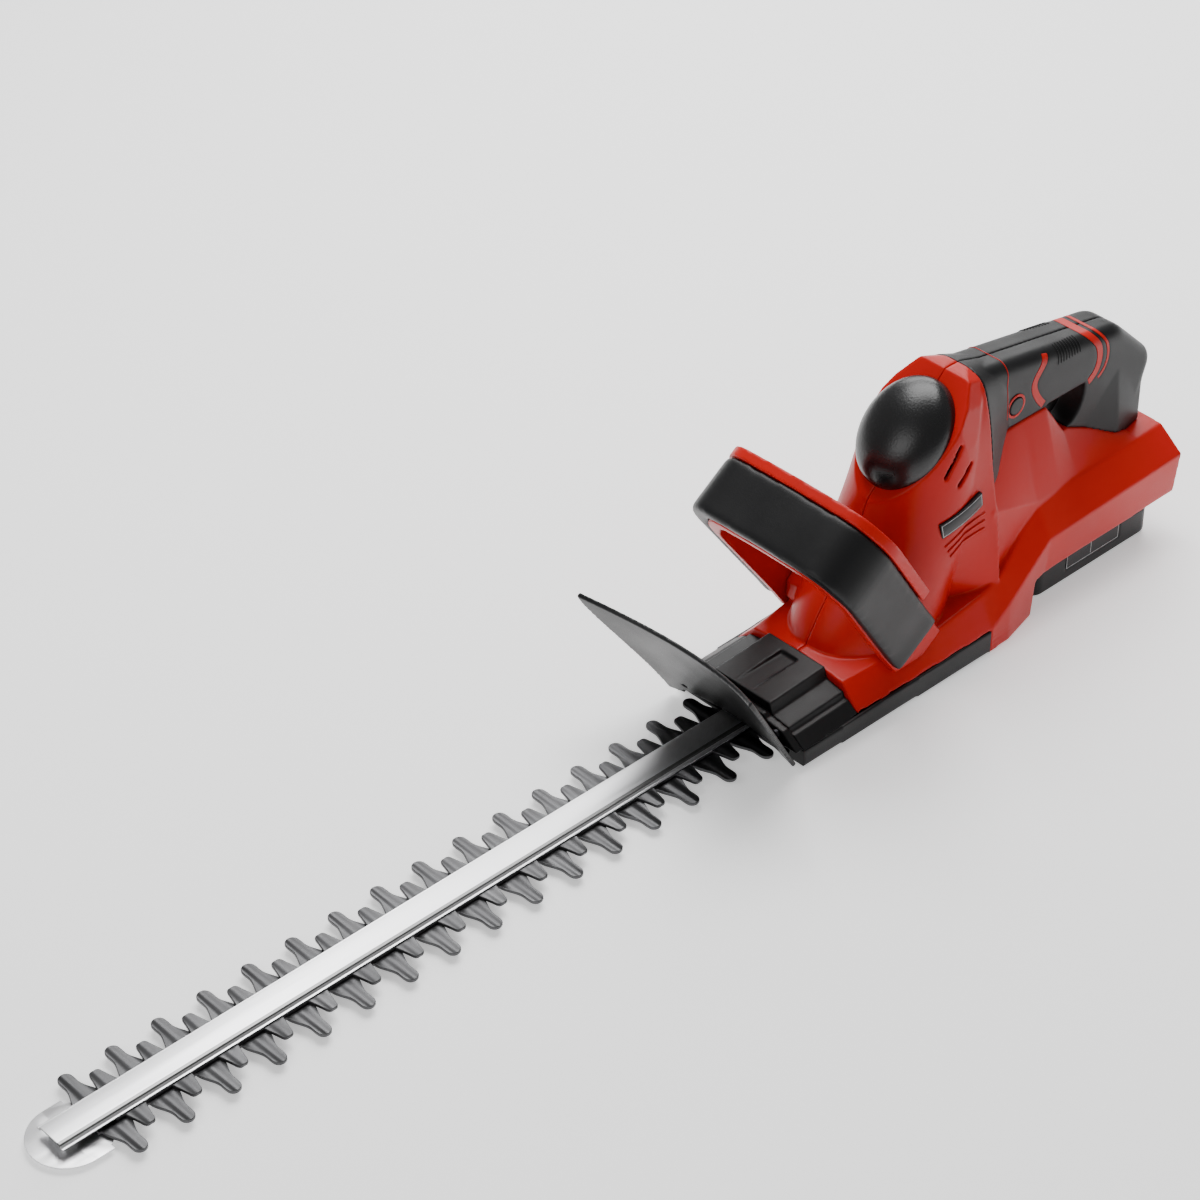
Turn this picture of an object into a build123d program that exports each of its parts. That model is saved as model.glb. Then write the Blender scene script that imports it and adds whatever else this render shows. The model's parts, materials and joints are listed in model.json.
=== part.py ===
"""Cordless hedge trimmer: a twin reciprocating blade, a sloping motor hump, a leaning front
loop handle, a rear grip on a leg and a slide-in battery.

Frame: +X towards the blade tip, +Y to the tool's left, +Z up.  The origin is the centre of
the bounding box's bottom face: the bottom plane of the body is z = 0.  Millimetres.
"""
from build123d import *
from math import cos, pi, radians, sin
import os

os.makedirs("parts", exist_ok=True)

# ------------------------------------------------------------------ driving dimensions
LENGTH = 900.0                  # tip plate to the back of the rear leg
TOOTH_PITCH = 32.0
TOOTH_COUNT = 16                # tall teeth of the lower blade, per side
FIRST_TOOTH_X = 403.5           # centre of the tall tooth nearest the tip
SHORT_OFFSET = 13.5             # upper blade's teeth stand this far behind the lower's
STROKE = 8.0                    # each blade moves this far to either side of mid stroke
BLADE_T = 2.2
LOWER_BLADE_Z = 3.5             # underside of the lower blade
BLADE_GAP = 0.2
BLADE_HALF = 12.0               # half width of the blades' plain strip
WALL = 3.0                      # moulded wall thickness
PLAY = 0.3                      # clearance between pieces that move

UPPER_BLADE_Z = LOWER_BLADE_Z + BLADE_T + BLADE_GAP
BAR_Z = UPPER_BLADE_Z + BLADE_T + BLADE_GAP
WASHER_Z = LOWER_BLADE_Z - PLAY - 1.0
GEAR_X = -184.5                 # axis of the crank gear
GEAR_TEETH = 72
PINION_TEETH = 12
MODULE = 1.0
MOTOR_X = GEAR_X - MODULE * (GEAR_TEETH + PINION_TEETH) / 2
GEAR_Z = 8.6
GEAR_T = 7.0
ECCENTRIC_R = 12.5
YOKE_CLEARANCE = 1.8            # fore-and-aft play of an eccentric in its yoke
SHAFT_R = 4.0

NOSE_X = -88.0                  # front face of the nose
NOSE_END_X = -137.0             # joint between the black nose and the red shells
TRAY_END_X = -257.0             # rear end of the black bottom tray
BAY_X = -306.0                  # front wall of the battery bay
REAR_X = -LENGTH / 2
TRAY_FRONT_H = 12.0
TRAY_REAR_H = 17.0

RIM_X, RIM_Z = -227.8, 155.1    # centre of the sloping rim that carries the motor cap
RIM_TILT = 45.8                 # degrees between the rim's plane and the horizontal
RIM_A, RIM_B = 38.7, 31.5       # the rim's half length up the slope and half width

GRIP_HALF = 18.0                # half width of the rear grip
COLLAR_X = -272.0               # joint between the hump and the rear grip
LOOP_LEAN = 55.0                # slope of the front loop handle, degrees from horizontal

BATTERY_FRONT = -318.0
BATTERY_REAR = -436.0
BATTERY_HALF = 40.0


def save(part, name):
    """Label a finished piece and write it to its STEP file."""
    part.label = name
    export_step(part, f"parts/{name}.step")


def mirrored(half):
    """Close a half outline, given from the top centre to the bottom centre, across y = 0."""
    return [*half, *[(-y, z) for y, z in reversed(half) if y > 0]]


def lofted(sections, smooth=False):
    """Ruled solid through symmetric cross-sections, each an x and a half outline."""
    with BuildPart() as form:
        for x, half in sections:
            with BuildSketch(Plane.YZ.offset(x)):
                with BuildLine():
                    if smooth:
                        skin = [*[(-y, z) for y, z in reversed(half[1:-1])], *half[:-1]]
                        Spline(*skin)
                        Line(skin[-1], skin[0])
                    else:
                        Polyline(*mirrored(half), close=True)
                make_face()
        loft(ruled=True)
    return form.part


# ------------------------------------------------------------------ outer forms
def lower_form(inset, floor):
    """Front body, rising at the back into the deck over the battery."""
    stations = (
        (NOSE_END_X, 34, 38, 30, 54.5, 12, 54.5),
        (-213, 36, 46, 34, 56, 15, 56),
        (TRAY_END_X, 42, 46, 40, 57, 17, 57),
        (-275, 50, 46, 47, 56, 29, 56.5),
        (-318, 77, 36, 76, 50, 55, 46),
        (REAR_X, 76, 31, 75, 50, 60, 44),
    )
    sections = []
    for x, top, y_up, z_up, y_out, z_out, y_low in stations:
        if x == NOSE_END_X:
            x -= inset
        if x == REAR_X:
            x += inset
        half = [(0, top - inset), (y_up - inset * 0.7, z_up - inset),
                (y_out - inset, z_out - inset * 0.4), (y_low - inset, floor), (0, floor)]
        sections.append((x, half))
    return lofted(sections)


collar_arch = [(0, 188.5), (10, 187.8), (19.5, 184), (26.5, 171), (31.5, 150), (34.5, 131)]
front_arch = [(0, 215), (14, 214), (27, 206), (37, 184), (43, 155), (46, 131)]


def crown_limit(inset):
    """Arched envelope that narrows the top of the hump down to the collar."""
    def section(x, arch):
        return x, [*[(max(y - inset, 0), z - inset) for y, z in arch], (60, 120), (60, 0), (0, 0)]

    return lofted([section(-310, collar_arch), section(COLLAR_X, collar_arch),
                   section(-200, front_arch), section(-100, front_arch)])


def hump_form(inset):
    """Leaning column of ellipses over the gear train and the upright motor."""
    rings = ((30, -202, 59.5, 43), (76, -222, 51, 41.5), (111, -236, 45.5, 40),
             (135, -240.5, 41.2, 38), (155, -243, 38, 35.5), (190, -250, 33, 29))
    with BuildPart() as column:
        for z, x, rx, ry in rings:
            with BuildSketch(Plane.XY.offset(z)):
                with Locations((x, 0)):
                    Ellipse(rx - inset, ry - inset)
        loft()
    return column.part & crown_limit(max(inset, 0))


def neck_form(inset):
    """Saddle that carries the hump back to the collar of the rear grip."""
    front = [(0, 168), (12, 168), (25, 165), (33.5, 155), (36.3, 143), (38.3, 128),
             (39.5, 98), (29, 30), (0, 30)]
    rear = [*collar_arch, (41, 98), (47, 30), (0, 30)]

    def shrink(half):
        return [(max(y - inset, 0), z - inset * 0.8 if z > 60 else z) for y, z in half]

    return lofted([(-240, shrink(front)), (COLLAR_X, shrink(rear))], smooth=True)


def flank_form(inset):
    """Sloping shoulders that fall from under the grip to the deck."""
    stations = ((-268, 131, 20, 96, 42), (-318, 131, 18, 78, 37), (-341.5, 131, 18, 76, 35),
                (-361, 106, 18, 76, 33), (-424, 77, 18, 75.5, 31))
    sections = []
    for x, z_top, y_top, z_low, y_low in stations:
        half = [(0, z_top - inset), (y_top - inset, z_top - inset),
                (y_low - inset, z_low - inset), (y_low - inset, 50), (0, 50)]
        sections.append((x, half))
    return lofted(sections)


def below_rim(depth):
    """Everything under the sloping rim plane, lowered by depth."""
    tilt = radians(RIM_TILT)
    normal = Vector(sin(tilt), 0, cos(tilt))
    centre = Vector(RIM_X, 0, RIM_Z) - normal * depth
    with BuildPart() as block:
        with BuildSketch(Plane(origin=centre, x_dir=(0, 1, 0), z_dir=normal)):
            Rectangle(300, 400)
        extrude(amount=-300)
    return block.part


def grip_profile(inset):
    """Rear grip and its leg, in side view, with the hand opening left out."""
    corners = [(COLLAR_X, 186 - inset), (-414 + inset * 0.4, 160 - inset),
               (-452.18 + inset, 124), (-441 + inset, 90), (REAR_X + inset, 62)]
    lower = [(-385, 62), (-342, 110), (COLLAR_X, 110)]
    with BuildPart() as solid:
        with BuildSketch(Plane.XZ):
            with BuildLine():
                FilletPolyline(*corners, radius=(26, 14, 22))
                Polyline(corners[-1], *lower, corners[0])
            make_face()
        extrude(amount=GRIP_HALF - inset, both=True)
        long_edges = solid.edges().filter_by(
            lambda e: abs(e.center().Y) > GRIP_HALF - inset - 0.1
            and (e.center().Z > 118 or e.center().X < -420) and e.center().X < -300
            and e.center().Z > 63)
        fillet(long_edges, radius=9 - inset)
    return solid.part


def hand_opening(grow):
    """Through opening between the grip and the deck, in front of the leg."""
    with BuildPart() as hole:
        with BuildSketch(Plane.XZ):
            with BuildLine():
                Line((-341.5 + grow, 132 + grow), (-380 - grow, 132 + grow))
                Spline((-380 - grow, 132 + grow), (-379.5 - grow, 121), (-376 - grow, 113),
                       (-361, 104 - grow))
                Line((-361, 104 - grow), (-341.5 + grow, 132 + grow))
            make_face()
        extrude(amount=60, both=True)
    return hole.part


def tray_form(inset, top_extra):
    """Bottom tray's outer form, up to the side crease of the body."""
    front_h, rear_h = TRAY_FRONT_H + top_extra, TRAY_REAR_H + top_extra
    front = [(0, front_h), (54.5 - inset, front_h), (54.5 - inset, inset), (0, inset)]
    rear = [(0, rear_h), (57 - inset, rear_h), (57 - inset, inset), (0, inset)]
    return lofted([(NOSE_X - inset, front), (TRAY_END_X + inset, rear)])


def box(x0, x1, y0, y1, z0, z1):
    """Plain block between two corners, for cuts and simple inner pieces."""
    centre = ((x0 + x1) / 2, (y0 + y1) / 2, (z0 + z1) / 2)
    size = (abs(x1 - x0), abs(y1 - y0), abs(z1 - z0))
    return Pos(*centre) * Box(*size, mode=Mode.PRIVATE)


def upright(x, y, z0, z1, radius):
    """Upright cylinder from z0 to z1."""
    return Pos(x, y, (z0 + z1) / 2) * Cylinder(radius, z1 - z0, mode=Mode.PRIVATE)


def crossways(x, z, y0, y1, radius):
    """Cylinder along Y from y0 to y1."""
    middle = Pos(x, (y0 + y1) / 2, z)
    return middle * Rot(90, 0, 0) * Cylinder(radius, abs(y1 - y0), mode=Mode.PRIVATE)


# ------------------------------------------------------------------ red body shells
BAY_TOP = 36.7
RAIL_TOP = 46.7
HOOD_TOP = 55.0
SKIRT_Z = 28.0
BOSS_X, BOSS_Z = -185.0, 42.0   # octagonal bosses that carry the loop handle
LOOP_SCREW_X, LOOP_SCREW_Z = -180.0, 50.4
BUTTON_X, BUTTON_Z = -310.5, 146.0
GRIP_FLOOR = 131.0              # the grip sits on the shoulders at this height
TRIGGER_X = -353.5
SCREW_R = 1.6

battery_bay = (
    box(BAY_X, -470, -40.7, 40.7, -1, BAY_TOP)
    + box(BAY_X, -470, -18.6, 18.6, -1, RAIL_TOP)
    + box(-405, -470, -33.5, 33.5, -1, HOOD_TOP)
)
flank = flank_form(0)
lower = lower_form(0, 0)
red_forms = (lower, hump_form(0), neck_form(0), flank)
roof = box(-300, -252, -60, 60, 176, 200)
hollow_forms = (hump_form(WALL) - roof, neck_form(WALL), flank_form(WALL))
under_rim = below_rim(0)
under_roof = below_rim(WALL)
rim_tilt = radians(RIM_TILT)
rim_normal = Vector(sin(rim_tilt), 0, cos(rim_tilt))
rim_plane = Plane(origin=(RIM_X, 0, RIM_Z), x_dir=(cos(rim_tilt), 0, -sin(rim_tilt)),
                  z_dir=rim_normal)
with BuildPart() as cap_opening:
    with BuildSketch(rim_plane):
        Ellipse(RIM_A - 6, RIM_B - 6)
    extrude(amount=8, both=True)
cap_hole = cap_opening.part
tray_space = tray_form(0, 0.1)
opening = hand_opening(0)
opening_wall = hand_opening(WALL)
front_limit = box(NOSE_END_X, 0, -80, 80, -1, 80)
skirt_limit = box(BAY_X, -470, -80, 80, -1, SKIRT_Z)
grip_limit = box(COLLAR_X, -470, -80, 80, GRIP_FLOOR, 200)
lower_hollow = (
    lower_form(WALL, 2.5)
    - box(TRAY_END_X, BAY_X + WALL, -70, 70, -5, 2.5)
    - box(BAY_X + WALL, -470, -70, 70, -5, 50)
    - box(-402, -470, -70, 70, -5, 58)
)

crown = box(-300, -225, -60, 60, 188.7, 200)
plate_prism = Pos(-239.5, 40, 107.2) * Rot(0, 12, 0) * Box(38, 24, 11, mode=Mode.PRIVATE)
plate_seat = hump_form(1.0) + neck_form(1.0)
plate_pocket = plate_prism - plate_seat
motor_space = upright(MOTOR_X, 0, 20, 84, 18.8)
case_way = box(-145, -130, -17.3, 17.3, 0, 22.3)
boss_holes = crossways(LOOP_SCREW_X, LOOP_SCREW_Z, -44, 44, 2.1)
boss_holes -= box(-200, -160, -36, 36, 30, 65)
lead_way = box(-334, -308, -8, 8, 120, 133)
rail_ribs = [box(-396, -330, side * 15.9, side * 21, 38.6, 41.0) for side in (-1, 1)]

with BuildPart() as red_outer:
    for form in red_forms:
        add(form)
    for side in (-1, 1):
        with BuildSketch(Plane.XZ.offset(-side * 30)):
            with Locations((BOSS_X, BOSS_Z)):
                RegularPolygon(16, 8, rotation=22.5)
        extrude(amount=-side * 12.7)
    add(under_rim, mode=Mode.INTERSECT)
    for limit in (front_limit, skirt_limit, grip_limit, tray_space, plate_pocket, crown):
        add(limit, mode=Mode.SUBTRACT)

with BuildPart() as red_shell:
    add(red_outer.part)
    add(lower_hollow, mode=Mode.SUBTRACT)
    for hollow in hollow_forms:
        add((hollow & under_roof) - opening_wall, mode=Mode.SUBTRACT)
    for cut in (cap_hole, battery_bay, opening, motor_space, case_way, boss_holes, lead_way):
        add(cut, mode=Mode.SUBTRACT)
    for rib in rail_ribs:
        add(rib)
    # vent slots in both flanks of the hump
    for side in (-1, 1):
        for x, z, length, turn in ((-233.5, 147.5, 24, 126), (-242.5, 135.5, 19, 138)):
            with BuildSketch(Plane.XZ.offset(-side * 20)):
                with Locations((x, z)):
                    SlotOverall(length, 2.6, rotation=turn)
            extrude(amount=-side * 30, mode=Mode.SUBTRACT)
        # grooves between the three ribs low on each side
        for level in (4.0, 7.5, 11.0):
            with BuildSketch(Plane.XY.offset(level)):
                with Locations((-281, side * 56.9)):
                    Rectangle(46, 2.4)
            extrude(amount=1.1, mode=Mode.SUBTRACT)

with BuildPart() as body_shell_left:
    add(red_shell.part)
    split(bisect_by=Plane.XZ, keep=Keep.BOTTOM)

with BuildPart() as body_shell_right:
    add(red_shell.part)
    split(bisect_by=Plane.XZ, keep=Keep.TOP)

save(body_shell_left.part, "body_shell_left")
save(body_shell_right.part, "body_shell_right")

# ------------------------------------------------------------------ rear grip shells
grip_form = grip_profile(0)
grip_hollow = grip_profile(WALL)
collar_form = lofted([
    (COLLAR_X, [*collar_arch, (36.5, 111), (0, 111)]),
    (-306, [(0, 178), (6, 177.7), (12, 174), (16, 165), (17.5, 150), (17.6, 131), (17.7, 111),
            (0, 111)]),
], smooth=True)
leg_flare = lofted([
    (-385, [(0, 110), (16, 110), (18, 100), (20, 66), (0, 66)]),
    (-414, [(0, 132), (16, 132), (18, 128), (24.5, 66), (0, 66)]),
    (-442, [(0, 120), (15, 120), (17, 110), (17.5, 66), (0, 66)]),
])
hump_tail = hump_form(0) & box(COLLAR_X, -300, -80, 80, 0, GRIP_FLOOR)
button_hole = crossways(BUTTON_X, BUTTON_Z, 0, 30, 6.6)
trigger_slot = box(TRIGGER_X - 10, TRIGGER_X + 10, -6.5, 6.5, 126, 140)


def stroke(points, width):
    """Bent band in the side view, as wide as a stripe, through both faces of the grip."""
    with BuildPart() as band:
        with BuildSketch(Plane.XZ):
            with BuildLine() as path:
                Spline(*points)
            trace(path.line, line_width=width)
        extrude(amount=30, both=True)
    return band.part


stripe_bands = (
    stroke(((-338, 171.5), (-333, 163), (-328, 155), (-330.5, 145), (-338.5, 134.5)), 5.0),
    stroke(((-381, 168), (-387, 161), (-392, 151), (-392, 142), (-383, 131.5)), 5.0),
    stroke(((-390, 167), (-395.5, 160), (-400, 151), (-400.5, 141), (-392.5, 130.5)), 2.0),
)
stripe_core = grip_profile(0.9)
GRIP_SCREWS = ((-322, 160), (-413, 146), (-424, 92))

with BuildPart() as grip_outer:
    for form in (grip_form, collar_form, leg_flare):
        add(form)
    for cut in (opening, lower, flank, battery_bay, hump_tail):
        add(cut, mode=Mode.SUBTRACT)

with BuildPart() as grip_shell:
    add(grip_outer.part)
    for cut in (grip_hollow - opening_wall, button_hole, trigger_slot):
        add(cut, mode=Mode.SUBTRACT)
    for band in stripe_bands:
        add(band - stripe_core, mode=Mode.SUBTRACT)

with BuildPart() as rear_grip_left:
    add(grip_shell.part)
    split(bisect_by=Plane.XZ, keep=Keep.BOTTOM)

with BuildPart() as rear_grip_right:
    add(grip_shell.part)
    split(bisect_by=Plane.XZ, keep=Keep.TOP)
    for x, z in GRIP_SCREWS:
        add(crossways(x, z, -20, -16.4, 3.3), mode=Mode.SUBTRACT)
        add(crossways(x, z, -17, -10, 1.5), mode=Mode.SUBTRACT)

with BuildPart() as grip_stripes:
    for band in stripe_bands:
        add((band - stripe_core) & grip_form)
    add(opening, mode=Mode.SUBTRACT)
    add(lower, mode=Mode.SUBTRACT)
    add(flank, mode=Mode.SUBTRACT)

with BuildPart() as grip_screws:
    for x, z in GRIP_SCREWS:
        with BuildSketch(Plane.XZ.offset(16.4)):
            with Locations((x, z)):
                Circle(3.0)
        extrude(amount=1.2)
        with BuildSketch(Plane.XZ.offset(16.5)):
            with Locations((x, z)):
                Circle(1.45)
        extrude(amount=-6)
        with BuildSketch(Plane.XZ.offset(17.6)):
            with Locations((x, z)):
                Rectangle(3.6, 0.9)
                Rectangle(0.9, 3.6)
        extrude(amount=-0.9, mode=Mode.SUBTRACT)

save(rear_grip_left.part, "rear_grip_left")
save(rear_grip_right.part, "rear_grip_right")
save(grip_stripes.part, "grip_stripes")
save(grip_screws.part, "grip_screws")

# ------------------------------------------------------------------ nose and bottom tray
MOUTH_HALF = 41.5               # the blades' teeth pass through the mouth
MOUTH_TOP = 9.6
mouth = box(NOSE_X - 14, NOSE_X + 5, -MOUTH_HALF, MOUTH_HALF, 2.3, MOUTH_TOP)
bar_way = box(NOSE_X - 30, NOSE_X + 5, -12.4, 12.4, 2.3, 11.8)


def nose_form(inset):
    """Stepped black nose between the guard and the red shells."""
    front = [(0, 32 - inset), (24 - inset / 2, 32 - inset), (26.5 - inset / 2, 24.5 - inset),
             (40.5 - inset, 22.5 - inset), (42 - inset, 19 - inset), (45 - inset, 19 - inset),
             (54.5 - inset, 12.2), (0, 12.2)]
    rear = [(0, 34.6 - inset), (24 - inset / 2, 34.6 - inset), (26.5 - inset / 2, 27 - inset),
            (40.5 - inset, 24.5 - inset), (42 - inset, 20.5 - inset), (45 - inset, 20.5 - inset),
            (54.6 - inset, 12.8), (0, 12.8)]
    return lofted([(NOSE_X - inset, front), (NOSE_END_X, rear)])


nose_block = nose_form(0)
nose_hollow = nose_form(WALL) + box(NOSE_X - WALL, NOSE_END_X - 5, -40, 40, 10, 20)
tray_block = tray_form(0, 0)
tray_hollow = (
    lofted([
        (NOSE_X - 16, [(0, 30), (51.5, 30), (51.5, 2.2), (0, 2.2)]),
        (TRAY_END_X + WALL, [(0, 30), (54, 30), (54, 2.2), (0, 2.2)]),
    ])
)

with BuildPart() as nose_cover:
    add(nose_block)
    for cut in (nose_hollow, bar_way, tray_block):
        add(cut, mode=Mode.SUBTRACT)
    with BuildSketch(Plane.XY.offset(31.2)):
        with Locations((-110, 0)):
            Rectangle(40, 14)
    extrude(amount=10, mode=Mode.SUBTRACT)
    # shallow recess panel on top, filled by its own plate
    with BuildSketch(Plane.XY.offset(30.2)):
        with Locations((-110, 0)):
            Rectangle(40, 14)
    extrude(amount=1.6)

COVER_SCREWS = [(x, side * y) for x, y in ((-112, 46), (-175, 48.5), (-243, 46)) for side in (-1, 1)]

with BuildPart() as bottom_cover:
    add(tray_block)
    for cut in (tray_hollow, mouth, bar_way):
        add(cut, mode=Mode.SUBTRACT)
    for x, y in COVER_SCREWS:
        add(upright(x, y, -0.5, 1.4, 3.2), mode=Mode.SUBTRACT)
        add(upright(x, y, 0, 3, 1.6), mode=Mode.SUBTRACT)

with BuildPart() as cover_screws:
    with BuildSketch(Plane.XY.offset(0.2)):
        with Locations(*COVER_SCREWS):
            Circle(3.0)
    extrude(amount=1.2)
    with BuildSketch(Plane.XY.offset(1.3)):
        with Locations(*COVER_SCREWS):
            Circle(1.5)
    extrude(amount=9)
    with BuildSketch(Plane.XY.offset(0.2)):
        with Locations(*COVER_SCREWS):
            RegularPolygon(1.5, 6)
    extrude(amount=0.9, mode=Mode.SUBTRACT)

save(cover_screws.part, "cover_screws")

save(nose_cover.part, "nose_cover")
save(bottom_cover.part, "bottom_cover")

# ------------------------------------------------------------------ blade guard
GUARD_R = 260.0
GUARD_T = 3.0
GUARD_LEAN = 31.0               # degrees from the vertical, towards the tip
guard_up = Vector(sin(radians(GUARD_LEAN)), 0, cos(radians(GUARD_LEAN)))
guard_out = Vector(cos(radians(GUARD_LEAN)), 0, -sin(radians(GUARD_LEAN)))
guard_foot = Vector(-84.6, 0, 6)
guard_face = Plane(origin=guard_foot, x_dir=(0, 1, 0), z_dir=guard_out)
guard_section = Plane(origin=guard_foot - guard_up * 30, x_dir=(0, 1, 0), z_dir=guard_up)

with BuildPart() as guard_sheet:
    with BuildSketch(guard_section):
        with Locations((0, -GUARD_R)):
            Circle(GUARD_R + GUARD_T)
            Circle(GUARD_R, mode=Mode.SUBTRACT)
    extrude(amount=180)

with BuildPart() as guard_outline:
    with BuildSketch(guard_face.offset(-12)):
        with BuildLine():
            Spline((-73.5, 114), (-52, 102.5), (-27, 95), (0, 92.5), (27, 95), (52, 102.5),
                   (73.5, 114))
            Line((73.5, 114), (74.3, 106))
            Spline((74.3, 106), (70, 80), (62.5, 50), (54.5, 2))
            Line((54.5, 2), (42, 2))
            Line((42, 2), (42, 7))
            Line((42, 7), (-42, 7))
            Line((-42, 7), (-42, 2))
            Line((-42, 2), (-54.5, 2))
            Spline((-54.5, 2), (-62.5, 50), (-70, 80), (-74.3, 106))
            Line((-74.3, 106), (-73.5, 114))
        make_face()
    extrude(amount=40)

base_half = [(0, 27), (24, 27), (26.5, 24.5), (40.5, 22.5), (45, 19), (54, 12.4), (0, 12.4)]
guard_base = lofted([(NOSE_X, base_half), (-82.0, base_half)])
guard_base_cut = box(-95, -70, -12.6, 12.6, 0, 12.6)
front_of_nose = box(NOSE_X - 60, NOSE_X, -90, 90, -10, 200)

with BuildPart() as blade_guard:
    add(guard_sheet.part)
    add(guard_outline.part, mode=Mode.INTERSECT)
    add(guard_base)
    add(guard_base_cut, mode=Mode.SUBTRACT)
    add(front_of_nose, mode=Mode.SUBTRACT)
    for side in (-1, 1):
        with Locations(Plane.YZ.offset(-82.0)):
            with Locations((side * 36, 19)):
                Hole(radius=1.7, depth=20)

save(blade_guard.part, "blade_guard")

with BuildPart() as guard_screws:
    for side in (-1, 1):
        with BuildSketch(Plane.YZ.offset(-82.0)):
            with Locations((side * 36, 19)):
                Circle(3.2)
        extrude(amount=2.0)
        with BuildSketch(Plane.YZ.offset(-82.0)):
            with Locations((side * 36, 19)):
                Circle(SCREW_R)
        extrude(amount=-5.9)

save(guard_screws.part, "guard_screws")

# ------------------------------------------------------------------ front loop handle
LOOP_HALF = 60.0
LOOP_TOP = 144.0
LEG_BEND = 30.0                 # the legs open out from here up
LOOP_BAND = 40.0
LOOP_FOOT = 13.0                # the legs end this far up the leaning plane
loop_front = Vector(sin(radians(LOOP_LEAN)), 0, -cos(radians(LOOP_LEAN)))
loop_plane = Plane(origin=(-191.5, 0, 34), x_dir=(0, 1, 0), z_dir=loop_front)


def loop_sketch(plane, half, top, radius, low):
    """Arch outline on the leaning plane: legs that open out under a rounded top."""
    side = [(half, low), (half, LEG_BEND), (half + 8, top - 26), (half - 6, top - 3)]
    with BuildSketch(plane) as arch:
        with BuildLine():
            FilletPolyline(*side, (0, top), *[(-y, u) for y, u in reversed(side)],
                           radius=(60, *radius, 60))
            Line((-half, low), (half, low))
        make_face()
    return arch.sketch


grip_front = loop_plane.offset(LOOP_BAND / 2)
LOOP_WRAP = 10.0
LOOP_CORE = 7.0

arch_radii = (30, 24, 60, 24, 30)
outer_arch = loop_sketch(grip_front, LOOP_HALF, LOOP_TOP, arch_radii, LOOP_FOOT)
seam_arch = loop_sketch(grip_front, LOOP_HALF - LOOP_WRAP, LOOP_TOP - LOOP_WRAP,
                        (26, 20, 50, 20, 26), -12)
inner_arch = loop_sketch(grip_front.offset(2), LOOP_HALF - LOOP_WRAP - LOOP_CORE,
                         LOOP_TOP - LOOP_WRAP - LOOP_CORE, (22, 16, 50, 16, 22), -14)

loop_outer = extrude(outer_arch, amount=-LOOP_BAND)
loop_seam = extrude(seam_arch, amount=-LOOP_BAND)
loop_seam_long = extrude(seam_arch, amount=-(LOOP_BAND + 9))
loop_inner = extrude(inner_arch, amount=-(LOOP_BAND + 14))
rim_arch = loop_sketch(grip_front.offset(-LOOP_BAND - 0.2), LOOP_HALF, LOOP_TOP, arch_radii,
                       LOOP_FOOT)
loop_rim = extrude(rim_arch, amount=-7.5)
foot_cut = loop_plane * Pos(0, -10, -40.2) * Box(200, 110, 40, mode=Mode.PRIVATE)
loop_floor = box(-260, -120, -80, 80, -20, 24)
loop_screw_holes = crossways(LOOP_SCREW_X, LOOP_SCREW_Z, -53, 53, 2.2)
HEAD_Y = 52.2                   # the screw heads are moulded in under the grip's skin
loop_head_holes = (crossways(LOOP_SCREW_X, LOOP_SCREW_Z, HEAD_Y - 0.1, HEAD_Y + 3, 4.5)
                   + crossways(LOOP_SCREW_X, LOOP_SCREW_Z, -HEAD_Y - 3, -HEAD_Y + 0.1, 4.5))

with BuildPart() as front_handle_grip:
    add(loop_outer)
    add(loop_seam, mode=Mode.SUBTRACT)
    for cut in (loop_floor, loop_screw_holes, loop_head_holes, lower):
        add(cut, mode=Mode.SUBTRACT)

with BuildPart() as front_handle_frame:
    add(loop_seam_long)
    add(loop_rim)
    for cut in (loop_inner, loop_floor, loop_screw_holes, lower, foot_cut):
        add(cut, mode=Mode.SUBTRACT)

save(front_handle_grip.part, "front_handle_grip")
save(front_handle_frame.part, "front_handle_frame")

with BuildPart() as handle_screws:
    for side in (-1, 1):
        with BuildSketch(Plane.XZ.offset(-side * HEAD_Y)):
            with Locations((LOOP_SCREW_X, LOOP_SCREW_Z)):
                Circle(4.2)
                RegularPolygon(2.0, 6, mode=Mode.SUBTRACT)
        extrude(amount=-side * 2.6)
        with BuildSketch(Plane.XZ.offset(-side * HEAD_Y)):
            with Locations((LOOP_SCREW_X, LOOP_SCREW_Z)):
                Circle(2.0)
        extrude(amount=side * 14)

save(handle_screws.part, "handle_screws")

# ------------------------------------------------------------------ blades and guide bar
BOLT_XS = (363.5, 253.5, 143.5, 33.5, -51.5)
BAR_FRONT = 438.0
BAR_REAR = -135.0
SLOT_LENGTH = 2 * STROKE + 7.6
SLOT_WIDTH = 6.6
YOKE_HALF_X = ECCENTRIC_R + YOKE_CLEARANCE
YOKE_HALF_Y = ECCENTRIC_R + STROKE + 0.5
YOKE_RIM = 6.0


def tall_tooth(x):
    """Rounded tall tooth on both edges of the lower blade."""
    for side in (-1, 1):
        with BuildLine() as outline:
            Polyline((x - 9.5, side * 11), (x - 9.3, side * 12), (x - 7, side * 21),
                     (x - 4.5, side * 27), (x - 4.5, side * 33.5))
            ThreePointArc((x - 4.5, side * 33.5), (x, side * 38), (x + 4.5, side * 33.5))
            Polyline((x + 4.5, side * 33.5), (x + 4.5, side * 27), (x + 7, side * 21),
                     (x + 9.3, side * 12), (x + 9.5, side * 11), (x - 9.5, side * 11))
        make_face(outline.edges())


def short_tooth(x):
    """Short tapered tooth on both edges of the upper blade."""
    for side in (-1, 1):
        with BuildLine() as outline:
            Polyline((x - 7, side * 11), (x - 6.7, side * 12), (x - 3, side * 26.5),
                     (x + 3, side * 26.5), (x + 6.7, side * 12), (x + 7, side * 11), close=True)
        make_face(outline.edges())


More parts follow.
